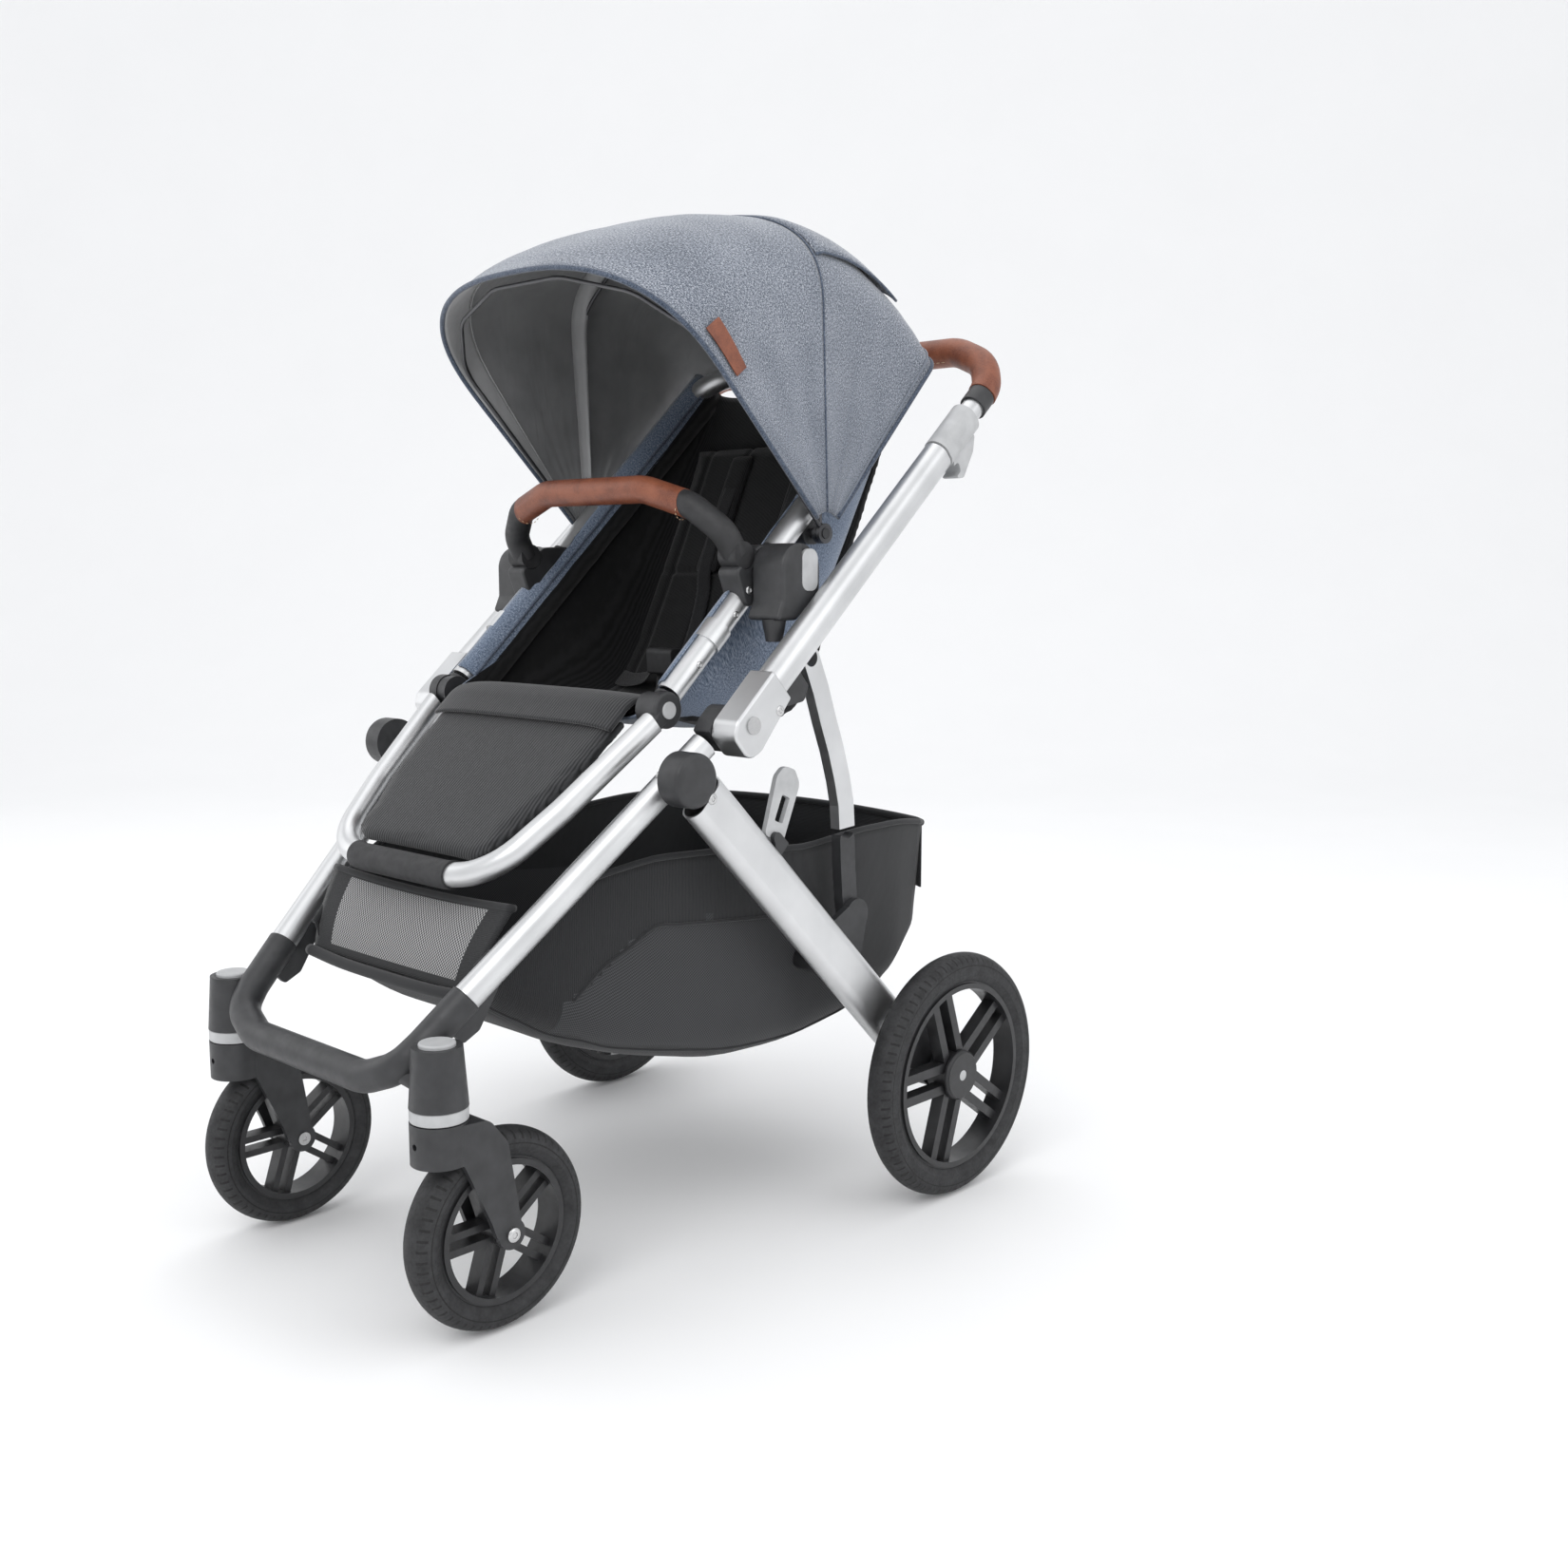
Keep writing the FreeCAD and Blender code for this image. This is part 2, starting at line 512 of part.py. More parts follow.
def flat_arm(yz, half, x0, x1):
    "flat bar of constant half width along a polyline, round ends"
    s_ = None
    for (a, b_), (c_, d_) in zip(yz[:-1], yz[1:]):
        L_ = math.hypot(c_ - a, d_ - b_)
        nx, nz = -(d_ - b_) / L_, (c_ - a) / L_
        h = half
        q_ = prism([(a + nx * h, b_ + nz * h), (c_ + nx * h, d_ + nz * h), (c_ - nx * h, d_ - nz * h), (a - nx * h, b_ - nz * h)], x0, x1)
        s_ = q_ if s_ is None else s_.fuse(q_)
        s_ = s_.fuse(cyl(h, (x0, c_, d_), (x1, c_, d_)))
    return s_


silver = flat_arm([(146, 452), (144, 480), (137, 510), (126, 545), (113, 578), (101, 612), C], 13.0, 236.4, 250.0)
silver = silver.cut(cyl(9.5, (230, C[0], C[1]), (260, C[0], C[1]))).removeSplitter()
pair("link_arms", silver)
sock = flat_arm([(DP[0], DP[1]), (151, 372), (148, 410), (146.6, 438.6)], 12.4, 236.6, 250.0)
sock = sock.cut(cyl(13.2, (230, 146, 452), (260, 146, 452))).cut(cyl(5.6, (230, DP[0], DP[1]), (260, DP[0], DP[1])))
sock = max(sock.Solids, key=lambda z: z.Volume).removeSplitter()
pair("link_sockets", sock)

# ---------------------------------------------------------------- upper frame
UX = D["upper_x"]
p, q = fr(UX, D["upper_start"], 0), fr(UX, D["upper_end"], 0)
dim("upper_len", (q - p).Length)
doc.recompute()
lt = []
for side, sx in (("left", 1), ("right", -1)):
    lt.append(pd_tube("upper_tube_" + side, along((sx * p.x, p.y, p.z), (0, q.y - p.y, q.z - p.z)),
            "", "upper_wall", "Dimensions.upper_len", "upper_wide", "upper_high"))
tubes("upper_tubes", *lt)
# fold housings: outer halves of the fold hinges, closed over the tubes' lower ends
fh = frame_prism([(440.7, 20), (440.7, -20), (372, -30), (352, -24), (352, 10), (366, 19)], 252.0, 286.4,
                 [2, 2, 16, 14, 12, 12])
fh = fillet_safe(fh, 3, [e for e in fh.Edges if e.BoundBox.XMin > 286.3])
fh = fh.cut(cyl(6.95, (240, A[0], A[1]), (290, A[0], A[1])))
pair("fold_housings", fh)
# seat brackets under the tubes, with the link arms' upper lugs
br = frame_prism([(446, -19.4), (446, -40), (470, -56), (486, -48), (486, -19.4)], 226, 262, [3, 8, 8, 3, 2])
br = br.fuse(frame_prism([(480, -19.4), (470, -50), (512, -54), (530, -40), (553, -19.4)], 226, 235.8, [2, 6, 10, 8, 3]))
br = br.fuse(frame_prism([(520, -19.4), (522, -26), (556, -22.5), (560, -19.4)], 226, 262, 1))
br = br.fuse(cyl(5.4, (230, C[0], C[1]), (249.6, C[0], C[1])))
br = br.cut(cyl(15.0, (236.0, C[0], C[1]), (250.2, C[0], C[1])).cut(cyl(5.4, (230, C[0], C[1]), (249.6, C[0], C[1]))))
br = br.cut(prism([(C[0] - 16, C[1] + 6), (C[0] + 20, C[1] + 6), (C[0] + 60, C[1] - 90), (C[0] - 2, C[1] - 90)], 236.0, 250.4))
pair("seat_brackets", max(br.Solids, key=lambda z: z.Volume).removeSplitter())

# seat adapters: clip into the brackets, carry the recline hubs
ad = prism([(HUB[0] - 34, HUB[1] - 34), (HUB[0] - 34, HUB[1] + 28), (HUB[0] + 26, HUB[1] + 28), (HUB[0] + 26, HUB[1] - 26), (60, 690), (28, 690)],
           204.4, 251.6, [6, 28, 28, 16, 8, 4])
ad = fillet_safe(ad, 4, [e for e in ad.Edges if e.BoundBox.XMax < 204.5 or e.BoundBox.XMin > 251.5])
cone = Part.makeCone(9, 13.5, 24, V(234, 42, 667))
ad = ad.fuse(cone).fuse(cyl(10.0, (192.0, HUB[0], HUB[1]), (208.0, HUB[0], HUB[1])))
ad = ad.cut(prism([(HUB[0] - 4, HUB[1] - 24), (HUB[0] - 4, HUB[1] + 60), (HUB[0] + 22, HUB[1] + 60), (HUB[0] + 22, HUB[1] - 24)], 246.4, 260, [10, 0, 0, 10]))
ad = ad.cut(frame_prism([(500, -30), (500, 19.4), (700, 19.4), (700, -30)], 251.7, 300))
pair("seat_adapters", ad)
btn = prism([(HUB[0] - 3.4, HUB[1] - 23.4), (HUB[0] - 3.4, HUB[1] + 22), (HUB[0] + 21.4, HUB[1] + 22), (HUB[0] + 21.4, HUB[1] - 23.4)], 248.0, 251.8, [9.5, 11, 11, 9.5])
pair("adapter_buttons", btn)

# fold trigger collars at the tops of the tubes
tc = slot_solid(tuple(fr(UX, 818.5, 0)), tuple(fr(UX, 886, 0)), 34, 40)
tc = tc.fuse(frame_prism([(824, -16), (818.5, -36), (828, -42), (862, -30), (880, -14)], UX - 11, UX + 11, [3, 5, 5, 12, 3]))
tc = tc.cut(frame_prism([(812, -20.6), (812, -33), (828, -33), (832, -20.6)], UX - 20, UX + 20, [0, 0, 4, 4]))
tc = tc.cut(cyl(14.2, tuple(fr(UX, 800, 0)), tuple(fr(UX, 900, 0))))
tc = max(tc.Solids, key=lambda z: z.Volume)
pair("fold_triggers", tc.removeSplitter())

# handlebar: telescoping inner tubes, black sleeves, wrapped grip
lt = []
for side, sx in (("left", 1), ("right", -1)):
    a = fr(sx * UX, 700, 0)
    lt.append(pd_tube("handle_slider_" + side, along(tuple(a), (0, CU, SU)), "Dimensions.slider_dia",
            "Dimensions.slider_dia - 4", "Dimensions.slider_len"))
tubes("handle_sliders", *lt)
sl_ = cyl(16.4, tuple(fr(UX, 905.2, 0)), tuple(fr(UX, 928, 0)))
pair("handle_sleeves", sl_)
hp = [(268, 929.3, 0), (268, 944, 2), (252, 975, 12), (206, 993.5, 21.4)]
hpl = [tuple(fr(*p_)) for p_ in hp]
hpr = [(-p_[0], p_[1], p_[2]) for p_ in reversed(hpl)]
grip = pipe(hpl + hpr, [40, 50, 60, 60, 50, 40], D["grip_dia"] / 2)
ctr = fr(0, 993.5, 21.4)
grip = grip.cut(Part.makeBox(56, 22, 13, V(-28, ctr.y - 11, ctr.z - 25)))
grip = grip.cut(cyl(30, tuple(fr(UX, 900, 0)), tuple(fr(UX, 928.4, 0)))).cut(cyl(30, tuple(fr(-UX, 900, 0)), tuple(fr(-UX, 928.4, 0))))
feat("handle_grip", grip)
hb = Part.makeBox(54.6, 20.6, 5.0, V(-27.3, ctr.y - 10.3, ctr.z - 20.6))
feat("handle_button", fillet_safe(hb, 2))

# ---------------------------------------------------------------- seat frame
ST = D["seat_tube_dia"] / 2
SX = D["seat_x"]
dim("seat_low_len", 164)
doc.recompute()
lt = []
for side, sx in (("left", 1), ("right", -1)):
    a = seat_pt(sx * SX, -192, 0)
    lt.append(pd_tube("seat_tube_" + side, along(tuple(a), (0, math.cos(SEAT), math.sin(SEAT))),
            "Dimensions.seat_tube_dia", "Dimensions.seat_tube_dia - 4", "Dimensions.seat_low_len"))
tubes("seat_tubes", *lt)
top = [tuple(seat_pt(SX, 28, 0)), tuple(seat_pt(SX, 374, 0))]
topr = [(-p_[0], p_[1], p_[2]) for p_ in reversed(top)]
hoop = pipe(top + topr, [60, 60], ST, 2.0)
feat("seat_back_hoop", hoop)
col = cyl(ST + 2.4, tuple(seat_pt(SX, -118, 0)), tuple(seat_pt(SX, -92, 0))).cut(cyl(ST + 0.05, tuple(seat_pt(SX, -140, 0)), tuple(seat_pt(SX, -80, 0))))
pair("seat_collars", col)
# recline hubs on the tubes, with the bumper bar's sockets
hub = prism([(HUB[0] - 40, HUB[1] - 44), (HUB[0] - 56, HUB[1] - 2), (HUB[0] - 20, HUB[1] + 26), (HUB[0] + 28, HUB[1] + 28), (HUB[0] + 30, HUB[1] - 12)],
            172.0, 203.8, [10, 8, 14, 16, 16])
hub = fillet_safe(hub, 3, [e for e in hub.Edges if e.BoundBox.XMax < 172.1 or e.BoundBox.XMin > 203.7])
hub = hub.cut(cyl(15.6, (160, BUMP[0], BUMP[1]), (210, BUMP[0], BUMP[1])))
hub = hub.cut(prism([(BUMP[0] + 12, BUMP[1] + 40), (BUMP[0] + 15.6, BUMP[1]), (BUMP[0] - 15.6, BUMP[1]), (BUMP[0] - 60, BUMP[1] + 4), (BUMP[0] - 60, BUMP[1] + 50)], 160, 210))
for k0, k1 in ((-60, -27.6), (27.6, 60)):
    hub = hub.cut(cyl(ST + 0.05, tuple(seat_pt(SX, k0, 0)), tuple(seat_pt(SX, k1, 0))))
# bore for the adapter's recline pin
hub = hub.cut(cyl(10.05, (191.0, HUB[0], HUB[1]), (210, HUB[0], HUB[1])))
pair("seat_hubs", max(hub.Solids, key=lambda z: z.Volume))
# leg rest knuckles on the tubes' lower ends
rk = cyl(18.5, (171.6, REST[0], REST[1]), (186.6, REST[0], REST[1])).fuse(cyl(ST - 0.4, tuple(seat_pt(SX, -214, 0)), tuple(seat_pt(SX, -196.3, 0))))
rk = rk.cut(Part.makeBox(40, 60, 60, V(187.2, REST[0] - 40, REST[1] - 30)).cut(cyl(40, tuple(seat_pt(SX, -186, 0)), tuple(seat_pt(SX, -203, 0)))))
rk = rk.cut(cyl(20.2, (187.0, REST[0], REST[1]), (210, REST[0], REST[1])))
pair("rest_knuckles", max(rk.Solids, key=lambda z: z.Volume).removeSplitter())
# canopy clips on the hoop
cc = prism([(CAN[0] - 12, CAN[1] - 12), (CAN[0] + 14, CAN[1] - 12), (CAN[0] + 12, CAN[1] + 34), (CAN[0] - 26, CAN[1] + 24)], 176, 190.0, [10, 10, 6, 8])
cc = cc.cut(cyl(ST + 0.05, tuple(seat_pt(SX, 40, 0)), tuple(seat_pt(SX, 160, 0))))
cc = cc.fuse(cyl(6.0, (180, CAN[0], CAN[1]), (211.8, CAN[0], CAN[1])))
cc = cc.cut(cyl(ST + 0.05, tuple(seat_pt(SX, 40, 0)), tuple(seat_pt(SX, 160, 0))))
pair("canopy_clips", max(cc.Solids, key=lambda z: z.Volume))

# seat shell: fabric tub hung between the tubes; outline in side view
so = [(-96, 584), (40, 562), (120, 560), (168, 578), (206, 640), (264, 760), (330, 905), (362, 972), (336, 990), (300, 962), (220, 872), (96, 745), (-20, 636), (-92, 606)]
si = [(-110, 590), (42, 568), (118, 566), (162, 583), (200, 643), (258, 763), (324, 908), (355, 973), (420, 1100), (200, 1000), (-110, 800)]
shell = prism(so, -167, 167, [2, 30, 60, 40, 60, 0, 0, 10, 8, 20, 0, 0, 20, 4])
hollow = prism(si, -163.5, 163.5, [2, 30, 56, 36, 56, 0, 0, 10, 0, 0, 0])
shell = shell.cut(hollow).cut(pipe(top + topr, [60, 60], ST + 0.6))
feat("seat_shell", max(shell.Solids, key=lambda z: z.Volume))
# padded insert lying in the shell
ti = D["insert_thick"]
io = [(-84, 592), (42, 569), (117, 567), (161, 584), (199, 643.5), (257, 763.5), (320, 902), (310, 908), (246, 768), (188, 650), (152, 595), (114, 580), (44, 581), (-84, 605)]
ins = prism(io, -161, 161, [2, 30, 54, 34, 54, 0, 4, 4, 0, 60, 30, 44, 30, 3])
feat("seat_insert", ins)


def strap_on(x0, x1, yz, t_):
    "flat strap whose lower face follows a side-view line"
    up = [(p_[0], p_[1]) for p_ in yz]
    low = []
    for i, p_ in enumerate(up):
        a, b_ = up[max(0, i - 1)], up[min(len(up) - 1, i + 1)]
        L_ = math.hypot(b_[0] - a[0], b_[1] - a[1])
        low.append((p_[0] - (b_[1] - a[1]) / L_ * t_, p_[1] + (b_[0] - a[0]) / L_ * t_))
    return prism(up + low[::-1], x0, x1)


back = [(188, 651.5), (246.8, 770), (305, 897)]


def off_back(k, o):
    "point above the back of the insert: k up the back, o out of it"
    a, b_ = (188.0, 650.0), (310.0, 908.0)
    L_ = math.hypot(b_[0] - a[0], b_[1] - a[1])
    u = ((b_[0] - a[0]) / L_, (b_[1] - a[1]) / L_)
    return (a[0] + u[0] * k - u[1] * o, a[1] + u[1] * k + u[0] * o)


pads = None
for x0 in (-78, 40):
    pd_ = prism([off_back(95, 1.4), off_back(262, 1.4), off_back(262, 13), off_back(95, 13)], x0, x0 + 38, [1, 1, 5, 5])
    pads = pd_ if pads is None else Part.makeCompound([pads, pd_])
hs = [s for s in pads.Solids]
for x0 in (-71, 47):
    hs.append(prism([off_back(14, 1.4), off_back(94, 1.4), off_back(94, 3.4), off_back(14, 3.4)], x0, x0 + 24))
hs.append(prism([(120, 585.5), (138, 592.6), (137, 595), (119, 588)], -120, -16))
hs.append(prism([(120, 585.5), (138, 592.6), (137, 595), (119, 588)], 16, 120))
hs.append(prism([(78, 583.2), (96, 583.2), (96, 618), (93.6, 618), (93.6, 585.6), (78, 585.6)], -12.5, 12.5))
feat("harness", Part.makeCompound(hs))
bk = prism([(86, 619), (104, 619), (106, 650), (84, 650)], -22, 22, [3, 3, 6, 6])
feat("harness_buckle", fillet_safe(bk, 2))

# canopy pieces: inverted-U sections in planes that turn about the canopy axis
CX = D["canopy_x"]


def rad(phi):
    "crown radius of the canopy at angle phi about its axis"
    tab = [(47, 314), (58, 334), (70, 350), (80, 361), (92, 367), (100, 366), (110, 369), (122, 380), (135, 391)]
    for (a, ra), (b_, rb) in zip(tab[:-1], tab[1:]):
        if a <= phi <= b_:
            return ra + (rb - ra) * (phi - a) / (b_ - a)
    return tab[-1][1]


def straight(phi):
    return 264 + (227 - 264) * min(1.0, max(0.0, (phi - 47) / 88.0))


def can_pt(x, r, phi):
    a = math.radians(phi)
    return V(x, CAN[0] + r * math.cos(a), CAN[1] + r * math.sin(a))


def arch(phi, inset, rmin, n=10):
    "half section from the foot to the crown, then mirrored: points (x, r)"
    hx, h0, h1 = CX - inset, straight(phi), rad(phi) - inset
    e = 2.6
    half = [(hx, rmin), (hx, h0)]
    for k in range(1, n + 1):
        t_ = math.pi / 2 * k / n
        half.append((hx * math.cos(t_) ** (2 / e) if k < n else 0.0, h0 + (h1 - h0) * math.sin(t_) ** (2 / e)))
    return half + [(-x_, r_) for x_, r_ in half[-2::-1]]


def can_section(phi, rmin):
    o_ = arch(phi, 0.0, rmin)
    i_ = arch(phi, D["canopy_skin"], rmin)
    v = [can_pt(x_, r_, phi) for x_, r_ in o_] + [can_pt(x_, r_, phi) for x_, r_ in reversed(i_)]
    return Part.makePolygon(v + [v[0]])


rear = Part.makeLoft([can_section(a, 24) for a in (47, 58, 70, 80, 91)], True, True)
front = Part.makeLoft([can_section(a, 24) for a in (93, 100, 110, 122, 135)], True, True)
rear = rear.cut(pipe(top + topr, [60, 60], ST + 0.8))
feat("canopy_rear", max(rear.Solids, key=lambda z: z.Volume))
feat("canopy_front", front)


def bow(phi, r, hx):
    "round bar that follows the sheet's section inside it, its feet on the clip's pins"
    h0, h1, e = straight(phi), rad(phi) - 20.0, 2.12
    w = hx

    def at(t_):
        return (w * math.cos(t_) ** (2 / e), h0 + (h1 - h0) * math.sin(t_) ** (2 / e))

    def tangent(t_):
        "point and direction of the section at t_"
        a_, b_ = at(t_ - 0.01), at(t_ + 0.01)
        return at(t_), (b_[0] - a_[0], b_[1] - a_[1])

    lines = [((w, h0), (0.0, 1.0)), tangent(math.radians(32)), tangent(math.radians(62)), ((0.0, h1), (-1.0, 0.0))]
    pts_ = []
    for (p_, d_), (q_, g_) in zip(lines[:-1], lines[1:]):
        k_ = ((q_[0] - p_[0]) * g_[1] - (q_[1] - p_[1]) * g_[0]) / (d_[0] * g_[1] - d_[1] * g_[0])
        pts_.append((p_[0] + d_[0] * k_, p_[1] + d_[1] * k_))
    half = [(w, 9.0)] + pts_
    full_ = half + [(-x_, r_) for x_, r_ in reversed(half)]
    return pipe([tuple(can_pt(x_, r_, phi)) for x_, r_ in full_], [70, 55, 70, 70, 55, 70], r)


# bent tubes inside the sheets, an eye at each foot turning on the clip's pin
for nm, phi, xm in (("canopy_mid_bow", 92, CX - 11.6), ("canopy_front_bow", 133.6, CX - 5.8)):
    s_ = bow(phi, D["bow_dia"] / 2, xm)
    for sx in (1, -1):
        s_ = s_.fuse(cyl(11.5, (sx * (xm - 2.5), CAN[0], CAN[1]), (sx * (xm + 2.5), CAN[0], CAN[1])))
    for sx in (1, -1):
        s_ = s_.cut(cyl(6.3, (sx * (xm - 9), CAN[0], CAN[1]), (sx * (xm + 9), CAN[0], CAN[1])))
    feat(nm, max(s_.Solids, key=lambda z: z.Volume))

# ---------------------------------------------------------------- bumper bar
def bump_pt(x, d):
    return (x, BUMP[0] - 0.5 * d, BUMP[1] + 0.866 * d)


core = [bump_pt(186, 0), bump_pt(184, 28), bump_pt(150, 62), bump_pt(86, 84)]
core_r = [(-p_[0], p_[1], p_[2]) for p_ in reversed(core)]
full = pipe(core + core_r, [30, 40, 60, 60, 40, 30], 15.0)
sleeve = pipe(core + core_r, [30, 40, 60, 60, 40, 30], D["bumper_dia"] / 2)
mid_box = Part.makeBox(286, 400, 400, V(-143, -300, 700))
leather = sleeve.common(mid_box)
end_ = full.cut(mid_box).common(Part.makeBox(120, 400, 400, V(100, -300, 600)))
end_ = end_.fuse(cyl(15.0, (173, BUMP[0], BUMP[1]), (200, BUMP[0], BUMP[1])))
pair("bumper_ends", max(end_.Solids, key=lambda z: z.Volume))
feat("bumper_grip", leather)

# ---------------------------------------------------------------- leg rest
def rest_pt(x, d, o=0.0):
    return (x, REST[0] - 0.766 * d + 0.643 * o * -1, REST[1] - 0.643 * d + 0.766 * o)


rp = [rest_pt(194, 18), rest_pt(190, 40), rest_pt(168, 150), rest_pt(140, 242), rest_pt(80, 255)]
rpr = [(-p_[0], p_[1], p_[2]) for p_ in reversed(rp)]
RT = D["rest_tube_dia"] / 2
ubar = pipe(rp + rpr, [60, 120, 70, 60, 60, 70, 120, 60], RT, 2.0)
keepout = None
for sx in (1, -1):
    ubar = ubar.cut(cyl(22.4, (sx * 180, REST[0], REST[1]), (sx * 215, REST[0], REST[1])))
cover_zone = Part.makeBox(176, 400, 400, V(-88, -500, 200))
cover = pipe(rp + rpr, [60, 120, 70, 60, 60, 70, 120, 60], RT + 2.2).cut(
    pipe(rp + rpr, [60, 120, 70, 60, 60, 70, 120, 60], RT + 0.05)).common(cover_zone)
feat("legrest_bar", max(ubar.Solids, key=lambda z: z.Volume))
feat("legrest_cover", max(cover.Solids, key=lambda z: z.Volume))
rh = cyl(19.6, (187.2, REST[0], REST[1]), (203.6, REST[0], REST[1]))
rh = fillet_safe(rh, 3, [e for e in rh.Edges if e.BoundBox.XMin > 203.5])
arm_ = cyl(RT - 1, rest_pt(194.4, 10), rest_pt(193.2, 22.0)).common(Part.makeBox(17, 100, 100, V(187.2, REST[0] - 60, REST[1] - 60)))
rh = rh.fuse(arm_).cut(cyl(9.4, (199.6, REST[0], REST[1]), (210, REST[0], REST[1])))
rh = rh.cut(ubar)
pair("legrest_hubs", max(rh.Solids, key=lambda z: z.Volume))
rb = cyl(9.2, (201.8, REST[0], REST[1]), (205.2, REST[0], REST[1]))
rb = fillet_safe(rb, 0.8, [e for e in rb.Edges if e.BoundBox.XMin > 205])
feat("legrest_button_left", rb.copy())
feat("legrest_button_right", mir(rb))
# calf panel: padded panel between the tubes
def rp_(d, o):
    q_ = rest_pt(0, d, o)
    return (q_[1], q_[2])


panel = prism([rp_(20, 6), rp_(20, -4), rp_(236, -4), rp_(236, 6)], -158, 158, [4, 3, 3, 4])
trim = Part.makePolygon([V(*rest_pt(x_, d_, -60)) for x_, d_ in ((-170, -2), (170, -2), (166, 30), (148, 140), (122, 222), (100, 236), (-100, 236), (-122, 222), (-148, 140), (-166, 30), (-170, -2))])
trim = Part.Face(trim).extrude(V(0, -0.643 * 120, 0.766 * 120))
panel = panel.common(trim)
feat("calf_panel", max(panel.Solids, key=lambda z: z.Volume))

# ---------------------------------------------------------------- write
doc.recompute()
bad = []
for o in doc.Objects:
    if any(k in ("Invalid", "Error") for k in o.State):
        bad.append(o.Name + " " + ",".join(o.State))
for o in parts:
    if o.Shape.isNull() or not o.Shape.isValid():
        bad.append(o.Label + " has no valid shape")
    elif not o.Shape.Solids:
        bad.append(o.Label + " has no solid")
if bad:
    raise RuntimeError("; ".join(bad))
for o in parts:
    s_ = o.Shape
    print("%-24s solids %d volume %9.0f  box %s" % (o.Label, len(s_.Solids), s_.Volume,
          " ".join("%.0f" % v_ for v_ in (s_.BoundBox.XMin, s_.BoundBox.XMax, s_.BoundBox.YMin, s_.BoundBox.YMax, s_.BoundBox.ZMin, s_.BoundBox.ZMax))))
    s_.exportStep("parts/%s.step" % o.Label)
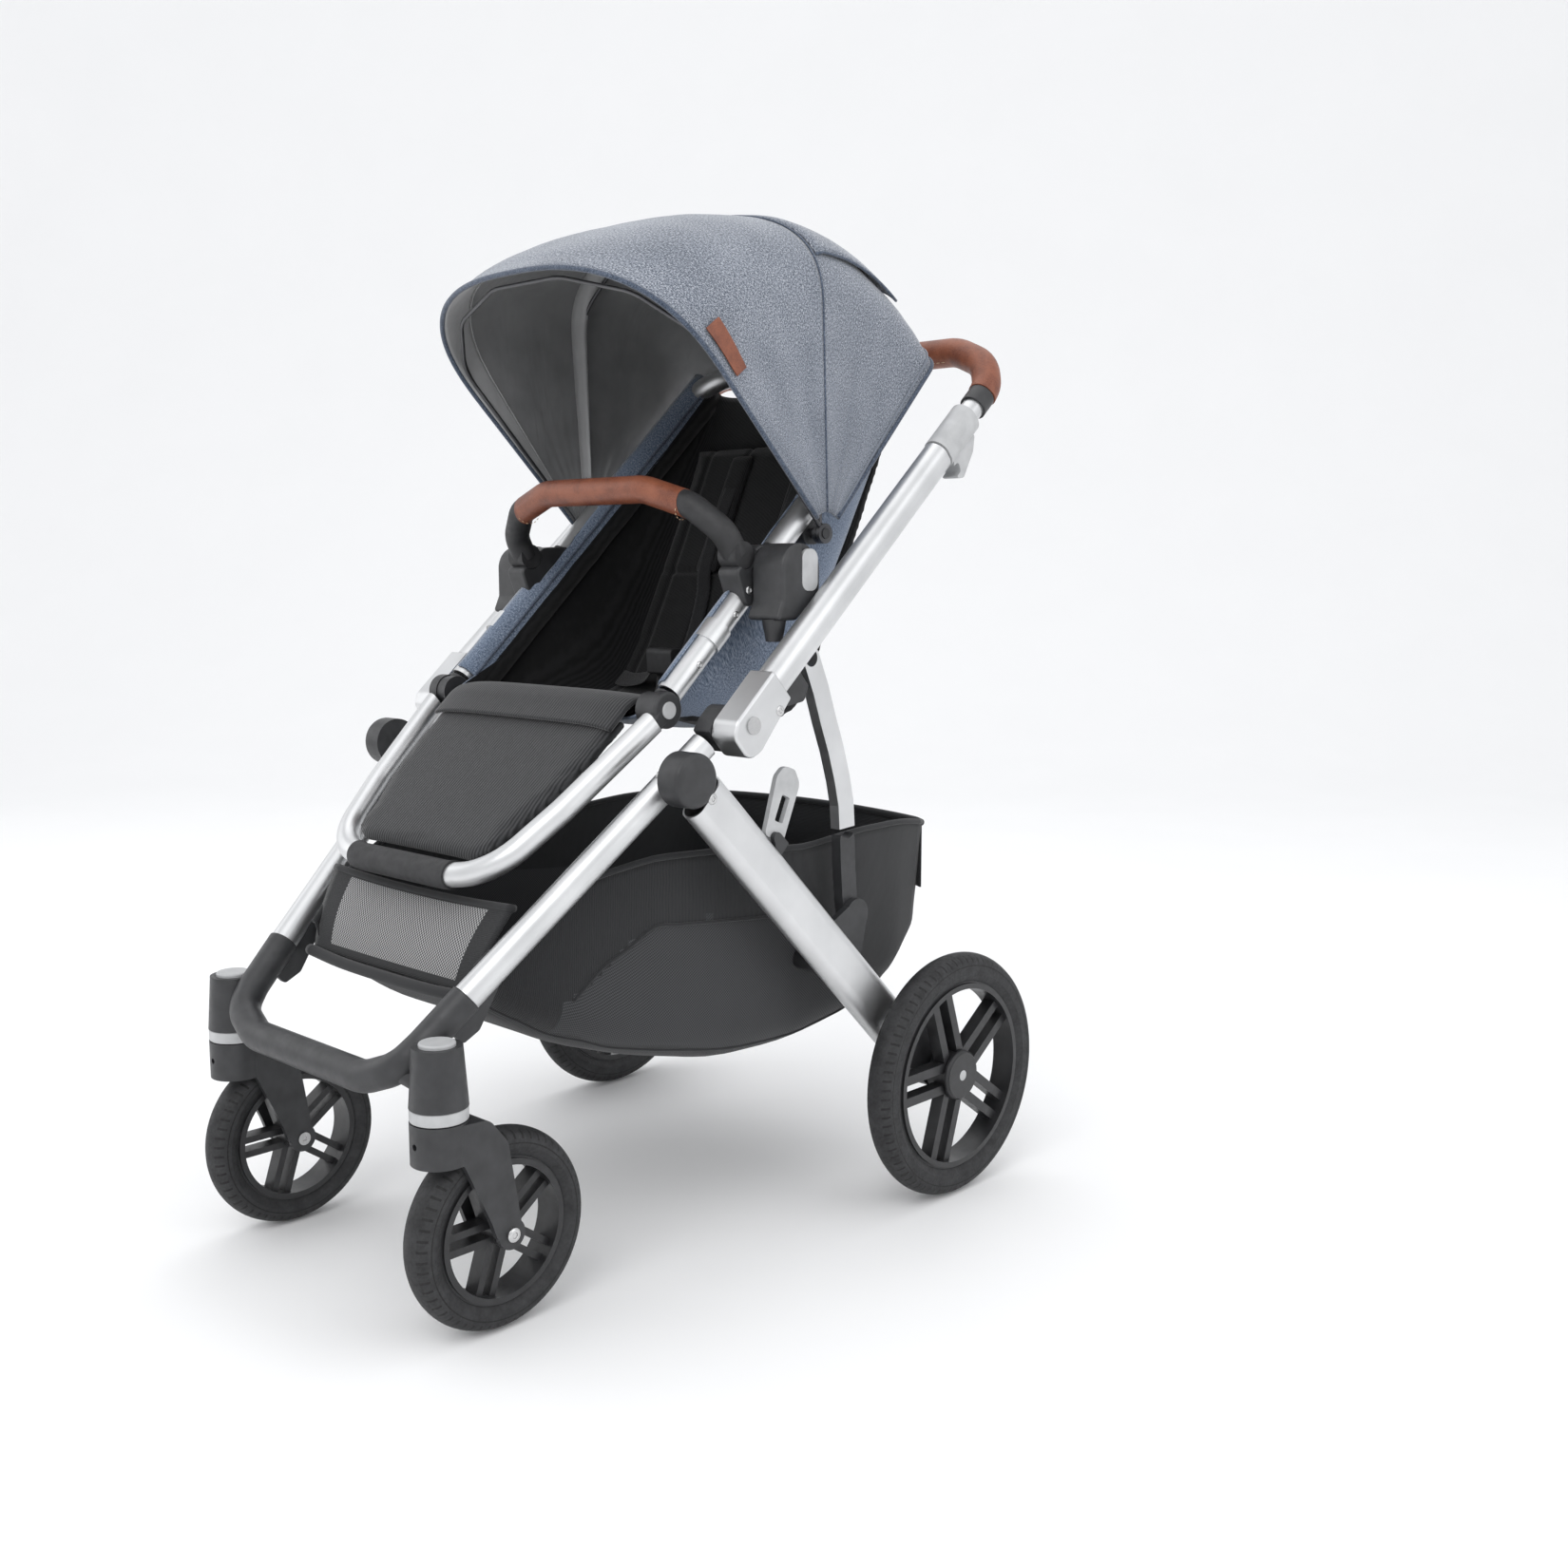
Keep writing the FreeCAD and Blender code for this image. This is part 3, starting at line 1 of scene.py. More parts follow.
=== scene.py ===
import bpy
import json
import math
import numpy as np
from mathutils import Vector, Matrix, noise
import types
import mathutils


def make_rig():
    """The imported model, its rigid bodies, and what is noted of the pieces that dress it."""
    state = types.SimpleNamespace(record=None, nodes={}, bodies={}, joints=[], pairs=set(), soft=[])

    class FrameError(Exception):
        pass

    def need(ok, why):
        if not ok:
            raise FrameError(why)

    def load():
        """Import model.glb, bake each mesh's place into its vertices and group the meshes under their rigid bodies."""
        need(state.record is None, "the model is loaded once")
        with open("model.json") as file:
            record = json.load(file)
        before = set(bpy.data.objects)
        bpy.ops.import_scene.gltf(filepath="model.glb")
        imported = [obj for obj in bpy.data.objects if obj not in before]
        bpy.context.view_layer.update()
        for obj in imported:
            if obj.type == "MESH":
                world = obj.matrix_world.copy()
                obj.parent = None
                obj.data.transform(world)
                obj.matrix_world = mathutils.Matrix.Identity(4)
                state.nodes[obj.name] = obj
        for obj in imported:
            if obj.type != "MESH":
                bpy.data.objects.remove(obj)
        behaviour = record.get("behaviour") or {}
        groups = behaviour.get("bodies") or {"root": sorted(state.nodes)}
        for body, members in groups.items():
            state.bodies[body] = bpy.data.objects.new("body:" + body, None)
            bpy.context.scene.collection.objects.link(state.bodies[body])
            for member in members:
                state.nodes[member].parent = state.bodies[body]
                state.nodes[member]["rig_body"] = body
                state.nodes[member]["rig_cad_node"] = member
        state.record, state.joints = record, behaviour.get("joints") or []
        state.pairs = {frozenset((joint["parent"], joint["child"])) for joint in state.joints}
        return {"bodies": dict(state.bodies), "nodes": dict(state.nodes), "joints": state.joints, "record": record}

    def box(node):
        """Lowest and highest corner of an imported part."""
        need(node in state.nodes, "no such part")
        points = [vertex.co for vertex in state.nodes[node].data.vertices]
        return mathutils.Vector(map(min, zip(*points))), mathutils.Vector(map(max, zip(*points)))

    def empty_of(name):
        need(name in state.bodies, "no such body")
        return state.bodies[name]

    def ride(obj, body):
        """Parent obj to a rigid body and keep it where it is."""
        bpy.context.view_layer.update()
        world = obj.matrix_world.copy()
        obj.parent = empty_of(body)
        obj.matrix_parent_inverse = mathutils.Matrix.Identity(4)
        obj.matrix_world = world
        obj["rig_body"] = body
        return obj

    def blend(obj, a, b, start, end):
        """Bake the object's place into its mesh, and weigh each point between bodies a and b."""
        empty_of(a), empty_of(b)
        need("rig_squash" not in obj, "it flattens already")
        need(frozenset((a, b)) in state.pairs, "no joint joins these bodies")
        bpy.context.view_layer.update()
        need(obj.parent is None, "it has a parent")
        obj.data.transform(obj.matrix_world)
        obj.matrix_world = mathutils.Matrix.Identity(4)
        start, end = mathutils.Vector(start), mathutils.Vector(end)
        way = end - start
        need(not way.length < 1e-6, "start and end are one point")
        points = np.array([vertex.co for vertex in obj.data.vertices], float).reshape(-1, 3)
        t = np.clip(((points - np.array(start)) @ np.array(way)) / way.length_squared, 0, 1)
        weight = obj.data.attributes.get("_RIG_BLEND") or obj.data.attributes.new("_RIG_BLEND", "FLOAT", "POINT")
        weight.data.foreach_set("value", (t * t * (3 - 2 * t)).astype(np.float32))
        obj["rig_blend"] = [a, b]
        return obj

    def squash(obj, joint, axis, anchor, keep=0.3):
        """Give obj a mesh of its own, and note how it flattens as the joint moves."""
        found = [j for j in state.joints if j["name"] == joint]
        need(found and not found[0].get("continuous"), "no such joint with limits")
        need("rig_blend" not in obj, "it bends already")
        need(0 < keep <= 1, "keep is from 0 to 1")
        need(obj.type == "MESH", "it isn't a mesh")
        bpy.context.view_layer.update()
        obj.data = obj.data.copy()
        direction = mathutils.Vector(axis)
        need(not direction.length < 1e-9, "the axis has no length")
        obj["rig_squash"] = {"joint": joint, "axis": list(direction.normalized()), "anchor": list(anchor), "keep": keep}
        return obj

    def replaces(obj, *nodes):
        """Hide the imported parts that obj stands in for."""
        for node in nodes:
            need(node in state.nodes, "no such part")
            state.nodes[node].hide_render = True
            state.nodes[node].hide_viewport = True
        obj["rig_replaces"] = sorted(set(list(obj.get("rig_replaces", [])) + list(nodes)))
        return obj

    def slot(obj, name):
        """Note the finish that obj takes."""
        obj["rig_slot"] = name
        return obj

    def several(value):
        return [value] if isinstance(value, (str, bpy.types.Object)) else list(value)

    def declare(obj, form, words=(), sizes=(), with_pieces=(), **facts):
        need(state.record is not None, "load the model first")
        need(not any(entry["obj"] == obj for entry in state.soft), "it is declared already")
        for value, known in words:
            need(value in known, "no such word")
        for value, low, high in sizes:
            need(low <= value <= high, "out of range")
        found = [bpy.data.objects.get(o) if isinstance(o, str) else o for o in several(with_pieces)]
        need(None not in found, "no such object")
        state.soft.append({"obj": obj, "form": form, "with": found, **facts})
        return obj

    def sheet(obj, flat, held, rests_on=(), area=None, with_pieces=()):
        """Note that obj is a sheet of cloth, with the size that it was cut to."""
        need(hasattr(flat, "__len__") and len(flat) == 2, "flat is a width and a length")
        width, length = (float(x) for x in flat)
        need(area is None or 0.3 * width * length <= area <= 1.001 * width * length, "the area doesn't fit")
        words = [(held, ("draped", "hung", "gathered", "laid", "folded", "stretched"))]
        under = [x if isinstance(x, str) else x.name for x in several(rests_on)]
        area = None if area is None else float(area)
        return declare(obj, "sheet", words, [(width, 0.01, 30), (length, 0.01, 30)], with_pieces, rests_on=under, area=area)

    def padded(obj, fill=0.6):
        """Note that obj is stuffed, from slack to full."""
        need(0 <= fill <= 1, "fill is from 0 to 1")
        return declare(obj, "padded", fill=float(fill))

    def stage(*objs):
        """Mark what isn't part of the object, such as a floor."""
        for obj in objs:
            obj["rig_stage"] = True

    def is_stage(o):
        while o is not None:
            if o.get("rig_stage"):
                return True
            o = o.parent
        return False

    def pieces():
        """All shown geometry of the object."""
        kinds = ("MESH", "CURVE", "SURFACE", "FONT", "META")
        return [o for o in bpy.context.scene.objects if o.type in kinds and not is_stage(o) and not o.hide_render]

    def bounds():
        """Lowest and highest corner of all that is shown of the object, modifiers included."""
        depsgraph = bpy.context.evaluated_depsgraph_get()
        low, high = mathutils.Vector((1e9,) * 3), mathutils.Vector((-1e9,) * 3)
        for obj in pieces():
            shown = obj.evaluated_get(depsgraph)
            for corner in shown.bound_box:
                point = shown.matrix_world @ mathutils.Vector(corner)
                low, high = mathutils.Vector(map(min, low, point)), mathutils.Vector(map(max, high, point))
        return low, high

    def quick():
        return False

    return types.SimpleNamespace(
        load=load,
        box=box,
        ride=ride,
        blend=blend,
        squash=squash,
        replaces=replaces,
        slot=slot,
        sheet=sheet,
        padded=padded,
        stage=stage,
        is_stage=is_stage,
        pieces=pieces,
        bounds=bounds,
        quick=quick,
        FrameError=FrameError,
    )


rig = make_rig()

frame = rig.load()
cad_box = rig.bounds()
N = frame["nodes"]
COL = bpy.context.scene.collection
mm = 0.001

# ------------------------------------------------------------------ node helpers


def new_mat(name):
    m = bpy.data.materials.new(name)
    m.use_nodes = True
    nt = m.node_tree
    nt.nodes.clear()
    out = nt.nodes.new("ShaderNodeOutputMaterial")
    b = nt.nodes.new("ShaderNodeBsdfPrincipled")
    nt.links.new(b.outputs[0], out.inputs[0])
    return m, nt, b


def nd(nt, kind, props=None, **ins):
    n = nt.nodes.new(kind)
    for k, v in (props or {}).items():
        setattr(n, k, v)
    for k, v in ins.items():
        s = n.inputs[int(k[1:])] if k[0] == "i" and k[1:].isdigit() else n.inputs[k.replace("_", " ")]
        if isinstance(v, bpy.types.NodeSocket):
            nt.links.new(v, s)
        else:
            s.default_value = v
    return n


def ramp(nt, fac, stops):
    r = nt.nodes.new("ShaderNodeValToRGB")
    e = r.color_ramp.elements
    while len(e) < len(stops):
        e.new(0.5)
    for el, (p, c) in zip(e, stops):
        el.position = p
        el.color = (*c, 1) if len(c) == 3 else c
    nt.links.new(fac, r.inputs[0])
    return r.outputs[0]


def g(v):
    return (v, v, v)


def coords(nt, kind, scale):
    tc = nt.nodes.new("ShaderNodeTexCoord")
    mp = nt.nodes.new("ShaderNodeMapping")
    mp.inputs["Scale"].default_value = scale
    nt.links.new(tc.outputs[kind], mp.inputs[0])
    return mp.outputs[0]


def nz(nt, vec, scale=1.0, detail=2.0, rough=0.5):
    return nd(nt, "ShaderNodeTexNoise", Vector=vec, Scale=scale, Detail=detail, Roughness=rough).outputs[0]


def mth(nt, op, a, b=0.0, c=0.0):
    return nd(nt, "ShaderNodeMath", {"operation": op}, i0=a, i1=b, i2=c).outputs[0]


def bump(nt, bsdf, h, strength, dist):
    bp = nd(nt, "ShaderNodeBump", Strength=strength, Distance=dist, Height=h)
    nt.links.new(bp.outputs[0], bsdf.inputs["Normal"])


def link(nt, a, bsdf, name):
    nt.links.new(a, bsdf.inputs[name])


def plastic(name, lo, hi, rough=(0.38, 0.5), grain=0.25):
    m, nt, b = new_mat(name)
    v = coords(nt, "Object", (1, 1, 1))
    n1 = nz(nt, v, 55, 3)
    n2 = nz(nt, v, 1600, 2)
    link(nt, ramp(nt, n1, [(0.3, lo), (0.72, hi)]), b, "Base Color")
    link(nt, ramp(nt, nz(nt, v, 120, 4), [(0.3, g(rough[0])), (0.7, g(rough[1]))]), b, "Roughness")
    bump(nt, b, n2, grain, 0.00035)
    return m


def metal(name, lo, hi, rough=(0.26, 0.36), along=(900, 900, 60), bumps=0.1):
    m, nt, b = new_mat(name)
    b.inputs["Metallic"].default_value = 1.0
    v = coords(nt, "Object", along)
    n1 = nz(nt, v, 1.0, 3)
    n0 = nz(nt, coords(nt, "Object", (1, 1, 1)), 14, 3)
    link(nt, ramp(nt, n0, [(0.3, lo), (0.7, hi)]), b, "Base Color")
    link(nt, ramp(nt, n1, [(0.25, g(rough[0])), (0.75, g(rough[1]))]), b, "Roughness")
    bump(nt, b, n1, bumps, 0.0002)
    return m


def melange(name, dark, mid, light, kind="UV", s=(330, 760), rough=0.85, sheen=0.35, strength=0.55, narrow=0.0):
    "two-tone woven cloth: slubs along both threads, light and dark flecks"
    m, nt, b = new_mat(name)
    va, vb = coords(nt, kind, (s[0], s[1], s[0])), coords(nt, kind, (s[1], s[0], s[1]))
    a, c = nz(nt, va, 1.0, 3, 0.65), nz(nt, vb, 1.0, 3, 0.65)
    f = mth(nt, "MULTIPLY_ADD", a, 0.5, mth(nt, "MULTIPLY", c, 0.5))
    big = nz(nt, coords(nt, kind, (1, 1, 1)), 9, 3)
    f2 = mth(nt, "MULTIPLY_ADD", big, 0.10, mth(nt, "SUBTRACT", f, 0.05))
    link(nt, ramp(nt, f2, [(0.36 + narrow, dark), (0.49, mid), (0.64 - narrow, light)]), b, "Base Color")
    b.inputs["Roughness"].default_value = rough
    b.inputs["Sheen Weight"].default_value = sheen
    b.inputs["Sheen Roughness"].default_value = 0.5
    b.inputs["Specular IOR Level"].default_value = 0.2
    bump(nt, b, f, strength, 0.0009)
    return m


def ribbed(name, lo, hi, period, axis=0, kind="Object", sheen=0.2, fleck=0.5):
    "fine upright ribs, as on a knitted spacer cloth"
    m, nt, b = new_mat(name)
    v = coords(nt, kind, (1, 1, 1))
    sep = nd(nt, "ShaderNodeSeparateXYZ", i0=v)
    wob = mth(nt, "MULTIPLY_ADD", nz(nt, v, 60, 2), 0.0016, sep.outputs[axis])
    w = mth(nt, "MULTIPLY_ADD", mth(nt, "SINE", mth(nt, "MULTIPLY", wob, 2 * math.pi / period)), 0.5, 0.5)
    sc = [60.0, 60.0, 60.0]
    sc[axis] = 700.0
    st = nz(nt, coords(nt, kind, tuple(sc)), 1.0, 3, 0.7)
    f = mth(nt, "MULTIPLY_ADD", st, fleck, mth(nt, "MULTIPLY", w, 1 - fleck))
    link(nt, ramp(nt, f, [(0.25, lo), (0.75, hi)]), b, "Base Color")
    b.inputs["Roughness"].default_value = 0.9
    b.inputs["Sheen Weight"].default_value = sheen
    b.inputs["Specular IOR Level"].default_value = 0.15
    bump(nt, b, w, 0.5, 0.0007)
    return m


def netting(name, thread, hole, period, kind="UV", warp=0.0004, alpha=None):
    "open net: round holes in staggered rows"
    m, nt, b = new_mat(name)
    v = coords(nt, kind, (1, 1, 1))
    sep = nd(nt, "ShaderNodeSeparateXYZ", i0=v)
    k = 2 * math.pi / period
    x = mth(nt, "MULTIPLY", mth(nt, "MULTIPLY_ADD", nz(nt, v, 25, 2), warp * 8, sep.outputs[0]), k)
    y = mth(nt, "MULTIPLY", mth(nt, "MULTIPLY_ADD", nz(nt, v, 21, 2), warp * 8, sep.outputs[1]), k)
    h = mth(nt, "MULTIPLY", mth(nt, "SINE", x), mth(nt, "SINE", y))
    f = mth(nt, "MULTIPLY_ADD", h, 0.5, 0.5)
    link(nt, ramp(nt, f, [(0.42, thread), (0.62, hole)]), b, "Base Color")
    b.inputs["Roughness"].default_value = 0.85
    b.inputs["Specular IOR Level"].default_value = 0.2
    b.inputs["Sheen Weight"].default_value = 0.15
    if alpha is not None:
        link(nt, ramp(nt, f, [(0.52, g(1.0)), (0.66, g(alpha))]), b, "Alpha")
    bump(nt, b, f, -0.6, 0.0008)
    return m


def satin(name, lo, hi, rough=0.36):
    m, nt, b = new_mat(name)
    v = coords(nt, "Object", (1, 1, 1))
    n1 = nz(nt, v, 16, 4, 0.55)
    th = nz(nt, coords(nt, "UV", (2400, 500, 1)), 1.0, 2)
    link(nt, ramp(nt, n1, [(0.3, lo), (0.7, hi)]), b, "Base Color")
    link(nt, ramp(nt, th, [(0.2, g(rough - 0.05)), (0.8, g(rough + 0.12))]), b, "Roughness")
    b.inputs["Sheen Weight"].default_value = 0.4
    wr = nd(nt, "ShaderNodeTexNoise", Vector=coords(nt, "Object", (14, 14, 5)), Scale=1.0, Detail=3.0, Distortion=0.8).outputs[0]
    bump(nt, b, mth(nt, "MULTIPLY_ADD", th, 0.02, wr), 0.5, 0.010)
    return m


def leather(name):
    m, nt, b = new_mat(name)
    v = coords(nt, "Object", (1, 1, 1))
    cell = nd(nt, "ShaderNodeTexVoronoi", Vector=v, Scale=620.0).outputs["Distance"]
    n1 = nz(nt, v, 38, 5, 0.6)
    fine = nz(nt, v, 900, 3)
    f = mth(nt, "MULTIPLY_ADD", cell, -0.18, n1)
    link(nt, ramp(nt, f, [(0.22, (0.135, 0.036, 0.017)), (0.45, (0.225, 0.068, 0.032)), (0.7, (0.285, 0.092, 0.045))]), b, "Base Color")
    link(nt, ramp(nt, fine, [(0.3, g(0.42)), (0.75, g(0.6))]), b, "Roughness")
    b.inputs["Coat Weight"].default_value = 0.08
    bump(nt, b, mth(nt, "MULTIPLY_ADD", cell, 0.8, mth(nt, "MULTIPLY", fine, 0.4)), 0.35, 0.0006)
    return m


def tyre_mat(name, cy, cz, r):
    """black tread rubber: block grooves round the shoulders, a smooth side wall; the grooves and a side-wall ring are
    painted near-black as painted shade
    """
    m, nt, b = new_mat(name)
    v = coords(nt, "Object", (1, 1, 1))
    s = nd(nt, "ShaderNodeSeparateXYZ", i0=v)
    dy, dz = mth(nt, "SUBTRACT", s.outputs[1], cy), mth(nt, "SUBTRACT", s.outputs[2], cz)
    rr = mth(nt, "SQRT", mth(nt, "ADD", mth(nt, "MULTIPLY", dy, dy), mth(nt, "MULTIPLY", dz, dz)))
    an = mth(nt, "ARCTAN2", dz, dy)
    sw = mth(nt, "MULTIPLY_ADD", mth(nt, "MULTIPLY", s.outputs[0], 60.0), 1.0, mth(nt, "MULTIPLY", an, round(2 * math.pi * r / 0.011)))
    w = mth(nt, "GREATER_THAN", mth(nt, "SINE", sw), 0.72)
    on = mth(nt, "GREATER_THAN", rr, r - 0.0095)
    top = mth(nt, "LESS_THAN", rr, r - 0.0022)
    gr = mth(nt, "MULTIPLY", w, mth(nt, "MULTIPLY", on, top))
    ring = mth(nt, "LESS_THAN", mth(nt, "ABSOLUTE", mth(nt, "SUBTRACT", rr, r - 0.0135)), 0.0007)
    h = mth(nt, "MAXIMUM", gr, ring)
    n1 = nz(nt, v, 70, 4)
    col = ramp(nt, n1, [(0.3, (0.012, 0.012, 0.013)), (0.75, (0.03, 0.03, 0.032))])
    # painted shade: where the groove and ring mask h is set, the rubber tone is mixed to near-black (0.004), darker
    # than the rubber itself
    groove_painted_shade_mix = nd(nt, "ShaderNodeMix", {"data_type": "RGBA"})
    nt.links.new(h, groove_painted_shade_mix.inputs[0])
    nt.links.new(col, groove_painted_shade_mix.inputs[6])
    groove_painted_shade_mix.inputs[7].default_value = (0.004, 0.004, 0.004, 1)
    link(nt, groove_painted_shade_mix.outputs[2], b, "Base Color")
    link(nt, ramp(nt, nz(nt, v, 300, 3), [(0.3, g(0.6)), (0.7, g(0.78))]), b, "Roughness")
    bump(nt, b, h, -0.8, 0.0012)
    return m


M = {
    "black": plastic("moulded_black", (0.022, 0.0225, 0.024), (0.036, 0.0365, 0.039)),
    "black_soft": plastic("soft_touch_black", (0.018, 0.018, 0.019), (0.03, 0.03, 0.032), (0.5, 0.66), 0.4),
    "rim": plastic("rim_black", (0.014, 0.014, 0.015), (0.024, 0.024, 0.026), (0.3, 0.42), 0.12),
    "grey": plastic("moulded_grey", (0.40, 0.405, 0.41), (0.5, 0.505, 0.51), (0.36, 0.46), 0.15),
    "alu": metal("satin_aluminium", (0.62, 0.625, 0.63), (0.72, 0.725, 0.73), (0.34, 0.43)),
    "alu_dark": metal("painted_tube", (0.10, 0.10, 0.105), (0.14, 0.14, 0.145), (0.35, 0.45)),
    "steel": metal("screw_steel", (0.5, 0.5, 0.5), (0.66, 0.66, 0.66), (0.18, 0.28), (300, 300, 300)),
    "leather": leather("tan_leather"),
    "thread": plastic("pale_thread", (0.45, 0.30, 0.18), (0.62, 0.45, 0.30), (0.7, 0.85), 0.6),
    "canopy": melange("canopy_melange", (0.040, 0.049, 0.068), (0.142, 0.163, 0.200), (0.46, 0.48, 0.53), narrow=0.035),
    "wing": melange("seat_melange", (0.045, 0.068, 0.11), (0.135, 0.175, 0.245), (0.36, 0.41, 0.5)),
    "wing_o": melange("seat_melange_solid", (0.045, 0.068, 0.11), (0.135, 0.175, 0.245), (0.36, 0.41, 0.5), "Object", (420, 420)),
    "lining": satin("satin_lining", (0.17, 0.172, 0.175), (0.235, 0.237, 0.24)),
    "lining_hem": satin("satin_hem", (0.30, 0.302, 0.305), (0.38, 0.382, 0.385), 0.33),
    "piping": melange("piping_cloth", (0.02, 0.028, 0.045), (0.055, 0.072, 0.105), (0.16, 0.19, 0.25), "Object", (500, 900)),
    "window": netting("dark_window_net", (0.012, 0.012, 0.013), (0.03, 0.03, 0.032), 0.0022, "Object"),
    "seat": ribbed("seat_liner_cloth", (0.0065, 0.0065, 0.007), (0.0165, 0.0165, 0.0175), 0.0022),
    "calf": ribbed("calf_rib_cloth", (0.014, 0.0143, 0.0152), (0.050, 0.0505, 0.053), 0.0042, 0, "Object", 0.25, 0.55),
    "rubber": plastic("cover_rubber", (0.018, 0.018, 0.019), (0.028, 0.028, 0.03), (0.55, 0.7), 0.5),
    "web": ribbed("webbing", (0.007, 0.007, 0.008), (0.02, 0.02, 0.022), 0.0016),
    "band": ribbed("basket_cloth", (0.019, 0.0193, 0.0205), (0.032, 0.0325, 0.034), 0.0018, 1, "UV"),
    "net_side": netting("basket_net_side", (0.026, 0.0265, 0.028), (0.062, 0.063, 0.066), 0.0034),
    "net_front": netting("basket_net_front", (0.04, 0.04, 0.042), (0.40, 0.40, 0.40), 0.0042),
}
M["tyre_f"] = tyre_mat("tyre_rubber_front", -0.31625, 0.1015, 0.1015)
M["tyre_r"] = tyre_mat("tyre_rubber_rear", 0.27175, 0.146, 0.146)

finish = {
    "tyre_f": ["front_tyre_left", "front_tyre_right"],
    "tyre_r": ["rear_tyre_left", "rear_tyre_right"],
    "rim": ["front_rim_left", "front_rim_right", "rear_rim_left", "rear_rim_right"],
    "black": ["caster_fork_left", "caster_fork_right", "front_casting", "fold_knuckles", "rear_axle_housings", "leg_fittings",
              "link_sockets", "seat_adapters", "handle_sleeves", "seat_hubs", "rest_knuckles", "canopy_clips",
              "brake_pedal", "legrest_hubs", "seat_brackets"],
    "black_soft": ["bumper_ends", "harness_buckle"],
    "grey": ["swivel_rings", "swivel_locks", "fold_triggers", "adapter_buttons", "handle_button", "legrest_button_left",
             "legrest_button_right", "storage_latch"],
    "alu": ["lower_tubes", "rear_legs", "upper_tubes", "handle_sliders", "link_arms", "seat_tubes", "seat_back_hoop",
            "legrest_bar", "fold_housings", "seat_collars"],
    "alu_dark": ["rear_cross_tube", "canopy_mid_bow", "canopy_front_bow"],
    "steel": ["front_axle_left", "front_axle_right", "rear_axles", "pivot_bolts"],
    "leather": ["handle_grip", "bumper_grip"],
    "rubber": ["legrest_cover"],
    "canopy": ["canopy_rear", "canopy_front"], "seat": ["seat_shell", "seat_insert"], "calf": ["calf_panel"],
    "web": ["harness"], "band": ["basket"],
}
for key, names in finish.items():
    for n_ in names:
        o = N[n_]
        if not o.material_slots:
            o.data.materials.append(M[key])
        for s_ in o.material_slots:
            s_.material = M[key]

# ------------------------------------------------------------------ mesh helpers


def obj(name, verts, faces, mats, body=None, uvs=None, midx=None, smooth=True):
    me = bpy.data.meshes.new(name)
    me.from_pydata([tuple(v) for v in verts], [], faces)
    me.update()
    if uvs is not None:
        lay = me.uv_layers.new(name="UVMap")
        for p in me.polygons:
            for li, vi in zip(p.loop_indices, p.vertices):
                lay.data[li].uv = uvs[vi]
    for m_ in (mats if isinstance(mats, (list, tuple)) else [mats]):
        me.materials.append(m_)
    if midx is not None:
        me.polygons.foreach_set("material_index", midx)
    me.polygons.foreach_set("use_smooth", [smooth] * len(me.polygons))
    o_ = bpy.data.objects.new(name, me)
    COL.objects.link(o_)
    if body:
        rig.ride(o_, body)
    return o_


def settle(o_):
    "replace the modifiers by their result"
    dg = bpy.context.evaluated_depsgraph_get()
    me = bpy.data.meshes.new_from_object(o_.evaluated_get(dg))
    o_.modifiers.clear()
    o_.data = me
    return o_


def tube_data(pts, r, n=12, closed=False, cap=True):
    "swept round tube: vertices and faces; r may be a number or one per point"
    pts = [Vector(p) for p in pts]
    k = len(pts)
    rs = r if hasattr(r, "__len__") else [r] * k
    tang = []
    for i in range(k):
        a = pts[(i - 1) % k] if closed or i > 0 else pts[i]
        b = pts[(i + 1) % k] if closed or i < k - 1 else pts[i]
        tang.append((b - a).normalized())
    up = Vector((0, 0, 1)) if abs(tang[0].z) < 0.9 else Vector((1, 0, 0))
    nrm = (up - tang[0] * up.dot(tang[0])).normalized()
    V_, F_ = [], []
    for i in range(k):
        nrm = (nrm - tang[i] * nrm.dot(tang[i])).normalized()
        bi = tang[i].cross(nrm)
        for j in range(n):
            a = 2 * math.pi * j / n
            V_.append(pts[i] + (nrm * math.cos(a) + bi * math.sin(a)) * rs[i])
    for i in range(k - (0 if closed else 1)):
        for j in range(n):
            a, b = i * n + j, i * n + (j + 1) % n
            c, d = ((i + 1) % k) * n + (j + 1) % n, ((i + 1) % k) * n + j
            F_.append((a, b, c, d))
    if cap and not closed:
        F_.append(tuple(range(n))[::-1])
        F_.append(tuple(range((k - 1) * n, k * n)))
    return V_, F_


def tubes(name, lines, r, mat_, body, n=10, closed=False):
    V_, F_ = [], []
    for ln in lines:
        v, f = tube_data(ln, r, n, closed)
        F_ += [tuple(i + len(V_) for i in q) for q in f]
        V_ += v
    return obj(name, V_, F_, mat_, body)


def smooth_line(pts, n=24):
    "Catmull-Rom points through the given ones"
    P = [Vector(p) for p in pts]
    P = [P[0] * 2 - P[1]] + P + [P[-1] * 2 - P[-2]]
    out = []
    segs = len(P) - 3
    for s in range(segs):
        a, b, c, d = P[s:s + 4]
        m = max(2, n // segs)
        for i in range(m):
            t = i / m
            out.append(0.5 * ((2 * b) + (c - a) * t + (2 * a - 5 * b + 4 * c - d) * t * t + (3 * b - a - 3 * c + d) * t ** 3))
    out.append(P[-2])
    return out


